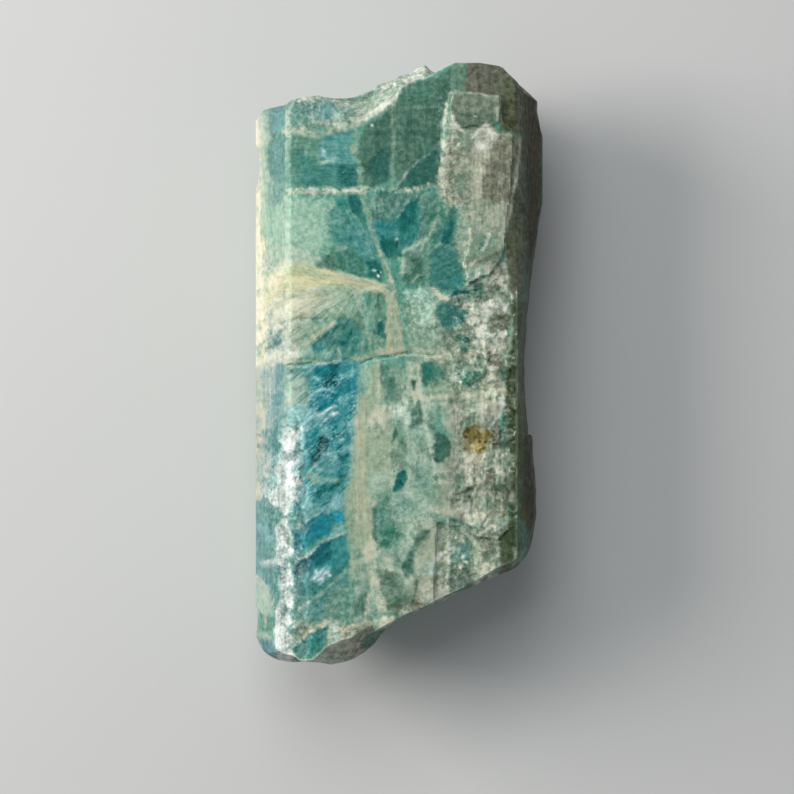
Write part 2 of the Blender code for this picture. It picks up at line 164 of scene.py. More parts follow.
SCAR_COUNT, SCAR_RADIUS, SCAR_DEPTH = 16, 5.6, 1.5
SCAR_STEPS = (0.7548777, 0.5698403)  # steps across and up that never bring two scars close together
TOP_START, BASE_START = 0.31, 0.83  # where each break's first scar lies, and its slice of the noise
RIPPLE = 0.25
# The scars and the ripple fade out this near to the crest and to the broad face.
CREST_MARGIN, FRONT_MARGIN = 4, 2


def scar_depth(x, z, start):
    """Shell-shaped scars: below each of the evenly spread middles a bowl, 1 less the square of the
    distance over the radius, so that sharp crests stay between them."""
    nearest = np.full(np.shape(x), 1e9)
    for i in range(SCAR_COUNT):
        cx = 2 * HALF_WIDTH * ((start + i * SCAR_STEPS[0]) % 1 - 0.5)
        cz = DEPTH * ((start + i * SCAR_STEPS[1]) % 1)
        nearest = np.minimum(nearest, np.hypot(x - cx, z - cz))
    return SCAR_DEPTH * np.maximum(0, 1 - (nearest / SCAR_RADIUS) ** 2)


def break_line(x, z, front, crest, back, start):
    """y of the top break over (x, z): the crest line, eased to the front line with the square of the
    height above the crest and to the back line with a power of the depth below it, less scars."""
    y_crest = along(crest, x)
    up = np.clip((z - CREST_HEIGHT) / (BROAD_FACE - CREST_HEIGHT), 0, 1) ** 2
    down = np.clip(1 - z / CREST_HEIGHT, 0, 1) ** 1.5
    y = y_crest + up * (along(front, x) - y_crest) + down * (along(back, x) - y_crest)
    off_crest = np.clip(abs(z - CREST_HEIGHT) / CREST_MARGIN, 0, 1)
    off_front = np.clip((BROAD_FACE - z) / FRONT_MARGIN, 0, 1)
    ripple = RIPPLE * np.abs(rippled(x, z, 0.5, seed=3, level=start))
    return y - (scar_depth(x, z, start) + ripple) * (off_crest * off_front)


def top_break(x, z):
    """y of the upper break over (x, z)."""
    return break_line(x, z, TOP_FRONT, TOP_CREST, TOP_BACK, TOP_START)


def base_break(x, z):
    """y of the lower break over (x, z): the upper one's rule, turned over."""
    turned = ([(x_, -y_) for x_, y_ in line] for line in (BASE_FRONT, BASE_CREST, BASE_BACK))
    return -break_line(x, z, *turned, BASE_START)


# --- Falls, ledges and chips ---------------------------------------------------------------------
# The right side fell away in one long shallow break. The left front edge is worn, the right half of
# the broad face is a field of small shell-shaped chips, and thin layers split off the hidden faces.

# The fall on the right side, as (y, x), and how far it leans in for each millimetre above the crest.
RIGHT_OUTLINE = [(-37, 12), (-24.8, 14.5), (-23, 15.8), (-20.6, 16.3), (-18.2, 16.7), (-15.8, 16.7),
    (-12.2, 16.4), (-8.7, 16.2), (-8.2, 15.7), (-4.4, 15.4), (0.4, 15.2), (5.2, 15.6), (10, 16),
    (14.2, 16.6), (18.4, 17.2), (21.4, 17.8), (26.6, 17.8), (28.3, 17.2), (30.9, 16.8), (37, 17.2)]
FALL_LEAN, FALL_RIPPLE = 0.2, 0.25
# The worn left edge: how deep it is worn along y, and scars in it as (distance across, y, radius, depth).
LEFT_WEAR = [(-38.0, 1.1), (-30.0, 1.1), (-20.0, 1.0), (-12.0, 0.9), (-7.0, 0.55), (-4.0, 0.1), (-3.9, -9.0)]
EDGE_TURN, EDGE_REACH = 30, 3.6  # the band's turn from the broad face in degrees, and half its width
LEFT_SCARS = [(0.5, -7.6, 2, 0.35), (-0.7, -9.4, 1.6, 0.4), (0.8, -11.4, 2.2, 0.45), (-0.4, -13.6, 1.9, 0.4),
    (0.9, -15.4, 2, 0.35), (-0.9, -17.2, 2.3, 0.5), (0.6, -19.3, 1.9, 0.35), (-0.5, -21.6, 2.4, 0.5),
    (0.9, -24, 2.1, 0.4), (-0.8, -26.2, 2, 0.45), (0.4, -28.4, 2.2, 0.4), (-0.7, -30.7, 2.3, 0.5),
    (0.7, -33.2, 2.4, 0.5)]
# The chipped field: its ends along y, its left side as (y, x), and its scars as (x, y, radius, depth).
FIELD_Y = (-21.5, 10.5)
FIELD_MARGIN = 1.6  # it deepens over this distance from its edge
ROUGH_LEFT = [(-22, 9), (-19, 6.2), (-16, 5.4), (-10, 5.8), (-5, 6.2), (-1, 5), (3, 4.6), (7, 5), (9, 7.2),
    (11, 11)]
ROUGH_SCARS = [(7.6, 6.6, 2.8, 0.45), (10.8, 7.6, 2.4, 0.5), (13.2, 5.6, 2.6, 0.8), (9.6, 3.6, 2.6, 0.5),
    (6.4, 2.6, 2.2, 0.35), (12.6, 1.6, 2.7, 0.7), (8.6, 0.2, 2.3, 0.4), (13.6, -2.8, 3, 0.8),
    (10.4, -3, 2.4, 0.5), (7.2, -4.2, 2.2, 0.35), (12.4, -7, 2.9, 0.6), (9.2, -8, 2.5, 0.4),
    (14, -11, 3, 0.8), (11, -12.2, 2.6, 0.5), (7.6, -13, 2.4, 0.35), (13.4, -15.6, 2.6, 0.6),
    (9.6, -16.6, 2.6, 0.45), (12, -18.4, 2.2, 0.4)]
WEAR_RIPPLE = 0.2
# Outlines (x, y) on the broad face: a raised plate, a slab on it, a low ledge and the crack.
WANDER = 0.12  # how far noise moves them
PLATE = [(5.8, 31.3), (6.2, 32.5), (9.5, 32.6), (12.2, 32.2), (12.5, 29.1), (13.8, 27.9), (13.7, 25.6),
    (13.5, 21.4), (13, 17), (12.5, 12.7), (10.4, 10.1), (8.5, 9.3), (7.7, 11.5), (8.5, 14.8), (8.3, 16.5),
    (6.8, 18.7), (5.6, 20.1), (4.8, 22.5), (5.2, 25.6), (5.5, 29.5)]
SLAB = [(6.3, 32.4), (8.6, 32.5), (10.9, 32.5), (12.1, 32.2), (12.2, 30.6), (12, 29), (10.8, 28.4),
    (8.9, 28.5), (7.4, 28.1), (6.4, 28.6), (6.1, 30.2)]
LOW_LEDGE = [(4.6, -19.1), (7.4, -19.7), (9.2, -20.7), (11.8, -21.2), (13.6, -19.6), (19, -18.8),
    (19.3, -28.4), (3.7, -34.2), (4.2, -28.4)]
CRACK = [(-16.4, -1), (-15.2, -0.6), (-13.6, -0.1), (-12.2, -0.2), (-11.2, -0.1), (-9.1, 0.2), (-7.3, 0.4),
    (-6.5, 0.7), (-5.5, 0.3), (-4.7, 0), (-2.8, 0.7), (-1.6, 0.9), (-0.6, 1), (0.7, 1.3), (1.6, 1.3),
    (3.2, 1), (5, 0.9)]
# Where layers split off the hidden faces, as (distance down the face, y).
LEFT_BACK_LEDGE = [(5, 20), (9, 18), (20, 22), (20, -8), (10, -11), (7, -6), (8, 1), (5.5, 8)]
RIGHT_BACK_LEDGE = [(7, 3), (11, 6), (20, 1.5), (20, -40), (4, -40), (6, -28), (8.5, -19), (7.5, -8)]
BACK_LEDGE_DEPTH = 0.6
PLATE_RISE, SLAB_RISE, LEDGE_DROP, CRACK_DEPTH = 0.45, 0.3, 0.45, 0.35
# Chips: middle, way out, radius and depth.
CHIPS = [
    ((-17.4, 24.0, 12.5), (-1.0, 0.0, 0.1), 9.0, 0.45),
    ((-17.5, -29.5, 12.8), (-1.0, -0.3, 0.2), 6.0, 0.3),
    ((14.4, 18.0, 18.6), (0.8, 0.0, 1.0), 7.0, 0.5),
    ((-10.2, -24.0, 0.2), (-0.8, 0.0, -1.0), 6.0, 0.8),
    ((-10.3, 12.0, 0.2), (-0.9, 0.2, -1.0), 4.5, 0.7),
    ((9.4, 20.0, 0.2), (0.9, 0.0, -1.0), 6.5, 0.9),
    ((9.3, -14.0, 0.2), (0.8, 0.1, -1.0), 4.0, 0.6),
]


def to_line(x, y, points):
    """The distance from (x, y) to the nearest of the straight stretches between the points."""
    best = np.full(np.shape(x), 1e9)
    for (ax, ay), (bx, by) in zip(points[:-1], points[1:]):
        dx, dy = bx - ax, by - ay
        t = np.clip(((x - ax) * dx + (y - ay) * dy) / (dx * dx + dy * dy), 0, 1)
        best = np.minimum(best, np.hypot(x - ax - t * dx, y - ay - t * dy))
    return best


def depth_inside(x, y, outline):
    """The distance from (x, y) to a closed outline, above 0 inside it and below 0 outside, by
    counting how many of its stretches a ray to the right crosses."""
    around = list(outline) + [outline[0]]
    crossed = np.zeros(np.shape(x), bool)
    for (ax, ay), (bx, by) in zip(around[:-1], around[1:]):
        if ay != by:
            crossed ^= ((ay > y) != (by > y)) & (x < (bx - ax) * (y - ay) / (by - ay) + ax)
    distance = to_line(x, y, around)
    return np.where(crossed, distance, -distance)


def deepest(u, v, scars):
    """How deep the deepest of the bowls (u, v, radius, depth) is, each its depth times 1 less the
    square of the distance over the radius."""
    return np.max([d * (1 - ((u - a) ** 2 + (v - b) ** 2) / r**2) for a, b, r, d in scars], axis=0)


def shards(u, v, size, seed):
    """Small tilted flats: the plane splits into cells round jittered middles, and each cell has its
    own height and tilt. Gives the height from -1 to 1 and the cell's own number from -1 to 1."""
    u, v = u / size, v / size
    best = np.full(np.shape(u), 1e9)
    height, own = np.zeros(np.shape(u)), np.zeros(np.shape(u))
    for du in (-1, 0, 1):
        for dv in (-1, 0, 1):
            column, row = ((np.floor(a) + step).astype(np.int64) for a, step in ((u, du), (v, dv)))
            cell = column * CELL_PRIMES[0] + row * CELL_PRIMES[1]
            a, b, c, d, e = (scrambled(cell + (seed + k) * SEED_PRIME) for k in range(5))
            off_u = u - (np.floor(u) + du + 0.5 + 0.4 * a)
            off_v = v - (np.floor(v) + dv + 0.5 + 0.4 * b)
            nearer = off_u**2 + off_v**2 < best
            best = np.where(nearer, off_u**2 + off_v**2, best)
            height = np.where(nearer, 0.5 * c + 0.7 * (d * off_u + e * off_v), height)
            own = np.where(nearer, c, own)
    return height, own


def on_face(x, z, corner, way, out):
    """How far (x, z) lies along a face from its corner, and how far out of the face's plane."""
    off_x, off_z = x - corner[0], z - corner[1]
    return off_x * way[0] + off_z * way[1], off_x * out[0] + off_z * out[1]


def fallen(x, y, z):
    """x held left of the fall on the right side, whose outline leans in above the crest and is
    roughened by noise."""
    limit = along(RIGHT_OUTLINE, y) - FALL_LEAN * np.maximum(0, z - CREST_HEIGHT)
    limit = limit - FALL_RIPPLE * np.abs(rippled(y, z, 0.35, seed=5, level=7))
    return np.minimum(x, limit)


def edge_worn(x, y, z):
    """(x, z) with the left front edge worn down: all that stands above a plane across the edge, which
    lies as deep as the wear and its scars go, is moved down to it."""
    turn = np.radians(EDGE_TURN)
    out, across = np.array((-np.sin(turn), np.cos(turn))), np.array((np.cos(turn), np.sin(turn)))
    t, h = on_face(x, z, CORNERS[0], across, out)
    depth = along(LEFT_WEAR, y)
    scar = np.maximum(0, deepest(t, y, LEFT_SCARS))
    scar = scar + WEAR_RIPPLE * np.abs(rippled(t, y, 0.8, seed=9, level=3))
    depth = depth + scar * np.clip(2 * depth, 0, 1)
    drop = np.where(abs(t) < EDGE_REACH, np.maximum(0, h + depth), 0)
    return x - out[0] * drop, z - out[1] * drop


def layer_split(x, y, z, upper, lower, outline):
    """(x, z) with a thin layer split off the face between two corners: inside the outline, drawn in
    distance down the face and y, the face is moved in by the layer's thickness."""
    down = (lower - upper) / np.linalg.norm(lower - upper)
    out = np.array((down[1], -down[0])) * np.sign(down[1] * upper[0])
    s, h = on_face(x, z, upper, down, out)
    inside = eased(-0.1, 0.1, depth_inside(s, y, outline))
    drop = np.where(abs(h) < BACK_LEDGE_DEPTH, np.maximum(0, h + BACK_LEDGE_DEPTH), 0) * inside
    return x - out[0] * drop, z - out[1] * drop


def chipped(x, y, z, middle, outward, radius, depth):
    """(x, z) with one shell-shaped chip: a ball cuts to the depth below the chip's middle, and a
    point inside the ball is moved along the way in until it leaves it."""
    outward = np.array(outward) / np.linalg.norm(outward)
    centre = np.array(middle) + outward * (radius - depth)
    off = [x - centre[0], y - centre[1], z - centre[2]]
    away = np.sqrt(sum(o**2 for o in off))
    lean = sum(o * w for o, w in zip(off, outward))
    back = lean + np.sqrt(np.maximum(0, lean**2 - away**2 + radius**2))
    back = np.where(away < radius, back, 0)
    return x - outward[0] * back, z - outward[2] * back


def worn(x, y, z):
    """The prism's points (x, z) at y, moved in to the nearest surface of everything that wear and
    breakage took: the fall on the right, the left edge band, the split layers and the chips."""
    x, z = edge_worn(fallen(x, y, z), y, z)
    x, z = layer_split(x, y, z, CORNERS[1], CORNERS[2], LEFT_BACK_LEDGE)
    x, z = layer_split(x, y, z, CORNERS[4], CORNERS[3], RIGHT_BACK_LEDGE)
    for chip in CHIPS:
        x, z = chipped(x, y, z, *chip)
    return x, z


def waves(x, y):
    """How far the outlines on the broad face wander in x and in y."""
    return WANDER * rippled(x, y, 0.6, seed=21), WANDER * rippled(x, y, 0.6, seed=22, level=4)


def field_flats(x, y):
    """The chipped field's small flats over (x, y): the heights and own numbers of the larger ones,
    and those of the smaller ones."""
    wave_x, wave_y = waves(x, y)
    large = shards(x + 2 * wave_x, y + 2 * wave_y, size=1.5, seed=40)
    small = shards(x + wave_x, y - wave_x, size=0.8, seed=50)
    return *large, *small


def broad_relief(x, y):
    """The height of the broad face over (x, y): its own level, less the chipped field and the low
    ledge, plus the plate and the slab on it, less the crack."""
    wave_x, wave_y = waves(x, y)
    u, v = x + wave_x, y + wave_y
    z = BROAD_FACE + 0 * x
    for outline, rise in ((PLATE, PLATE_RISE), (SLAB, SLAB_RISE), (LOW_LEDGE, -LEDGE_DROP)):
        z = z + rise * eased(-0.08, 0.08, depth_inside(u, v, outline))
    margin = np.minimum(np.minimum(x - along(ROUGH_LEFT, y), y - FIELD_Y[0]), FIELD_Y[1] - y)
    inside = np.clip(margin / FIELD_MARGIN, 0, 1)
    scar = np.maximum(0.08, deepest(x, y, ROUGH_SCARS))
    scar = scar + WEAR_RIPPLE * np.abs(rippled(x, y, 0.8, seed=13, level=5))
    large, _, small, _ = field_flats(x, y)
    scar = scar + (0.22 * large + 0.12 * small + 0.12)
    z = np.where(inside > 0, np.minimum(z, BROAD_FACE - scar * inside), z)
    crack = 1 - eased(0.05, 0.2, to_line(u, v, CRACK))
    return z - CRACK_DEPTH * crack * (0.6 + 0.4 * noise(x, y, x * 0, 3))


# The breaks say where each row of points lies along the prism, and the wear there how far in. Each
# depends on the other, so both are worked out in turn until they agree.
ring = section_ring()
share = np.linspace(0, 1, ROWS)[:, None]
ring_x, ring_z = (np.repeat(ring[None, :, k], ROWS, axis=0) for k in (0, 1))
grid_x, grid_z = ring_x, ring_z
for _ in range(3):
    low, high = base_break(grid_x, grid_z), top_break(grid_x, grid_z)
    grid_y = low + (high - low) * share
    grid_x, grid_z = worn(ring_x, grid_y, ring_z)
low, high = base_break(grid_x, grid_z), top_break(grid_x, grid_z)
grid_y = low + (high - low) * share

# The broad face's columns are the last ones. Its relief is raised only where the face is whole, and
# cut wherever it lies lower than what the wear has left.
on_broad = (np.arange(len(ring)) >= len(ring) - FACE_COLUMNS[5])[None, :]
relief = broad_relief(grid_x, grid_y)
raised = on_broad & (relief > grid_z + 0.01) & (grid_z > BROAD_FACE - 0.02)
cut = on_broad & (relief < grid_z)
grid_z = np.where(raised | cut, relief, grid_z)

# Each end closes with rings that shrink towards the middle of the section, on the break's surface.
CAP_RINGS = 36


def cap(edge_x, edge_z, edge_y, surface, outward):
    """The rings of one end: the section's edge scaled towards its middle, with y from the break's
    surface, small tilted flats on it, and the rim kept where the sides end."""
    scale = (1 - np.arange(1, CAP_RINGS + 1) / (CAP_RINGS + 0.6))[:, None] ** 0.9
    x = MIDDLE[0] + scale * (edge_x - MIDDLE[0])
    z = MIDDLE[1] + scale * (edge_z - MIDDLE[1])
    rim = eased(0, 0.25, 1 - scale)
    large, _ = shards(x + 0.4 * rippled(x, z, 1, seed=3, octaves=2), z * 1.3, size=1.9, seed=60)
    small, _ = shards(x, z * 1.2, size=0.9, seed=70)
    fine = 0.28 * large + 0.1 * small - 0.2
    offset = (edge_y - surface(edge_x, edge_z)) * (1 - rim)
    crest = np.clip(abs(z - CREST_HEIGHT) / 1.5, 0.25, 1)
    return x, surface(x, z) + offset + outward * fine * rim * crest, z


def closed_tube(x, y, z, start, end):
    """Vertices and faces of a grid of closed rings with its two end middles, all faces outwards."""
    rows, columns = x.shape
    points = np.stack((x, y, z), axis=-1).reshape(-1, 3)
    points = np.concatenate((points, (start, end)))
    i, j = np.meshgrid(np.arange(rows - 1), np.arange(columns), indexing="ij")
    k = (j + 1) % columns
    this, above = i * columns, (i + 1) * columns
    quads = np.stack((this + j, above + j, above + k, this + k), axis=-1)
    j, k = j[0], k[0]
    top = (rows - 1) * columns
    first = np.stack((np.full(columns, rows * columns), j, k), axis=-1)
    last = np.stack((np.full(columns, rows * columns + 1), top + k, top + j), axis=-1)
    return points, quads.reshape(-1, 4), np.concatenate((first, last))


low_rings = cap(grid_x[0], grid_z[0], grid_y[0], base_break, -1)
high_rings = cap(grid_x[-1], grid_z[-1], grid_y[-1], top_break, 1)
rings = [
    np.concatenate((low[::-1], sides, high))
    for low, sides, high in zip(low_rings, (grid_x, grid_y, grid_z), high_rings)
]
start = (MIDDLE[0], rings[1][0].mean(), MIDDLE[1])
end = (MIDDLE[0], rings[1][-1].mean(), MIDDLE[1])
points, quads, fans = closed_tube(*rings, start, end)


# --- The colours in the crystal ------------------------------------------------------------------
# Clear blue-green beryl shows as deep windows between healed cracks, which are pale veils and veins.
# The left face and edge are milky, and the left lamp's glow on them is painted into their colour. The
# right side is olive rock, darkened by painted shade.

def linear(red, green, blue):
    """The linear colour of one given as screen values from 0 to 255."""
    c = np.array((red, green, blue)) / 255
    return np.where(c <= 0.04045, c / 12.92, ((c + 0.055) / 1.055) ** 2.4)


# Colours as (red, green, blue) on a screen: the stone's own where it is clearest, and those of the
# cracks and chips that whiten it. Some stand for light: shade, night and night_green are olive rock
# darkened as painted shade on the right side, glow is the left lamp's painted glow, and glint and
# bright are painted highlights.
STONE = {
    "pale": (86, 157, 138), "sage": (113, 145, 122), "green": (70, 136, 117), "moss": (70, 117, 99),
    "dark_moss": (60, 108, 92), "teal": (45, 136, 129), "teal_blue": (45, 145, 149), "deep": (10, 108, 102),
    "abyss": (0, 98, 104), "ink": (22, 70, 74), "blue": (10, 140, 146), "vivid": (4, 136, 150),
    "bright": (50, 178, 204), "slate": (100, 160, 160), "slate_green": (88, 149, 143),
    "dusk": (86, 142, 156), "rock_dark": (98, 116, 92), "fern": (96, 136, 112), "stone": (96, 98, 84),
    "slab": (96, 118, 100), "mud": (100, 86, 56), "olive": (122, 110, 42), "rust": (120, 72, 54),
    "night": (74, 72, 26), "night_green": (64, 80, 50), "shade": (84, 90, 66), "black": (20, 22, 18),
    "lens": (0, 102, 112), "bark": (102, 103, 83),
}
VEILS = {
    "veil": (190, 208, 188), "milky": (176, 208, 186), "cream": (210, 210, 186), "beige": (188, 190, 162),
    "ochre": (206, 188, 118), "yellow": (222, 218, 174), "glow": (250, 246, 218), "icy": (174, 220, 218),
    "glint": (196, 236, 246), "white": (240, 243, 238), "chip": (222, 224, 212), "rock": (196, 198, 178),
    "straw": (168, 184, 156),
}

# Markings on the broad face. Outlines that more than one of them is laid inside come first.
FIELD = [(4.7, 7.6), (8.5, 8.1), (12.7, 8.6), (13.6, 6.4), (13.4, 4), (13.1, 1.6), (12.6, -2), (12.8, -3.8),
    (12.5, -5.6), (11.2, -7.7), (13.1, -10.4), (13.1, -16.4), (13.3, -18.5), (11.6, -19.5), (8.5, -19),
    (4.9, -17.8), (3.7, -17), (4, -12.8), (6.4, -9.2), (4.9, -4.4), (4.4, 1.6)]
TOP_BREAK = [(-13.6, 31.6), (-11.9, 32.1), (-9.2, 32.6), (-5.9, 32.5), (-2.9, 33.4), (-2.3, 34.1),
    (-0.5, 34.6), (1.3, 35.7), (3.1, 36.4), (4, 35.7), (4.9, 35.2), (3.1, 34), (0.7, 32.8), (-0.4, 31.1),
    (-3.5, 29.3), (-5.9, 28.5), (-9.5, 28.3), (-13.6, 27.9)]
UPPER_WINDOW = [(-13.2, 27.5), (-11.9, 27.4), (-10.9, 27.2), (-9.7, 26.9), (-8.8, 27.3), (-7.6, 27.9),
    (-6.5, 28), (-5.3, 27.9), (-5.3, 26.5), (-5.6, 25.6), (-5.3, 24.1), (-4.9, 22.3), (-4.7, 20.8),
    (-7.1, 20.8), (-9.7, 21.1), (-11.9, 20.9), (-13.2, 20.9)]
ROUGH_PLATE = [(5.3, 25.6), (6.4, 28.3), (8.5, 28), (10, 28.5), (11.2, 28.7), (11.8, 27.7), (13.6, 27.5),
    (14.6, 27.1), (14.5, 25), (14.2, 22), (13.7, 19.6), (13.1, 17.2), (12.6, 15.4), (12.7, 13.6),
    (11.5, 12.9), (9.7, 12.2), (8.5, 11.5), (7.3, 11.2), (7.6, 13.6), (8.3, 15.3), (8.5, 16.6), (7.8, 18.1),
    (6.7, 19), (5.8, 19.4), (4.9, 20.6), (4.4, 22)]
UNDER_SEAM = [(-3.2, 20.6), (4.6, 20.6), (5.2, 17.8), (4.9, 14.8), (3.1, 13.6), (1.8, 14.8), (1.8, 19),
    (-0.1, 19), (-1.3, 16.6), (-3.2, 17.2)]
LOW_BREAK = [(-12.8, -31.3), (-11.3, -30.9), (-6.5, -30.8), (-7.1, -36.5), (-13.1, -36.5), (-13.3, -33.2)]
LOW_CHIP = [(-7.1, -31.7), (-3.2, -30.5), (-2.9, -32.2), (-4.4, -33.4), (-4.2, -35.6), (-7.1, -36.1)]
BOTTOM = [(-4.7, -0.2), (4.9, -3.8), (4.3, -16.4), (4.9, -23.6), (0.1, -29.6), (-5.9, -31.4), (-5.9, -4.4)]
BLUE = [(-11.2, -1), (-9.7, -0.1), (-7.1, 0.4), (-4.9, -0.1), (-5, -2.6), (-5.4, -5.3), (-5.9, -9.2),
    (-6, -12.8), (-6.7, -15.2), (-6.8, -16.4), (-10.4, -17), (-12.1, -16.4), (-12.1, -12.8), (-11.6, -10.4),
    (-11.9, -8), (-10.9, -5.3), (-10.4, -3.8), (-11.4, -2.6)]
PALE_MIDDLE = [(0.6, 7.6), (4.7, 7.6), (5.5, 3.8), (7.6, 2.2), (8.5, 0.4), (7.3, -3.8), (4.9, -4.4),
    (1.6, -4.4)]
PALE_RIBBON = [(-4, -8), (-0.8, -7.3), (-0.8, -12.8), (-3.7, -13.4)]
RIGHT_FOOT = [(9.5, -20), (11.6, -20), (11.9, -23.1), (10, -23.1)]
WORN_EDGE = [(-14.3, -7.3), (-11.6, -7.3), (-11.4, -16.4), (-12.1, -28.4), (-12.1, -36.5), (-15.5, -36.5),
    (-15.2, -23.6), (-16.4, -16.4)]
UPPER_WEDGE = [(3.5, 25.4), (4.8, 25.3), (4.6, 21.3), (0, 20.9), (2, 24.2)]
RIGHT_WINDOW = [(3.7, 13.1), (5.5, 14.1), (6.7, 13.6), (8, 9.5), (7.1, 8.3), (6.1, 8.1), (3.7, 9.5)]

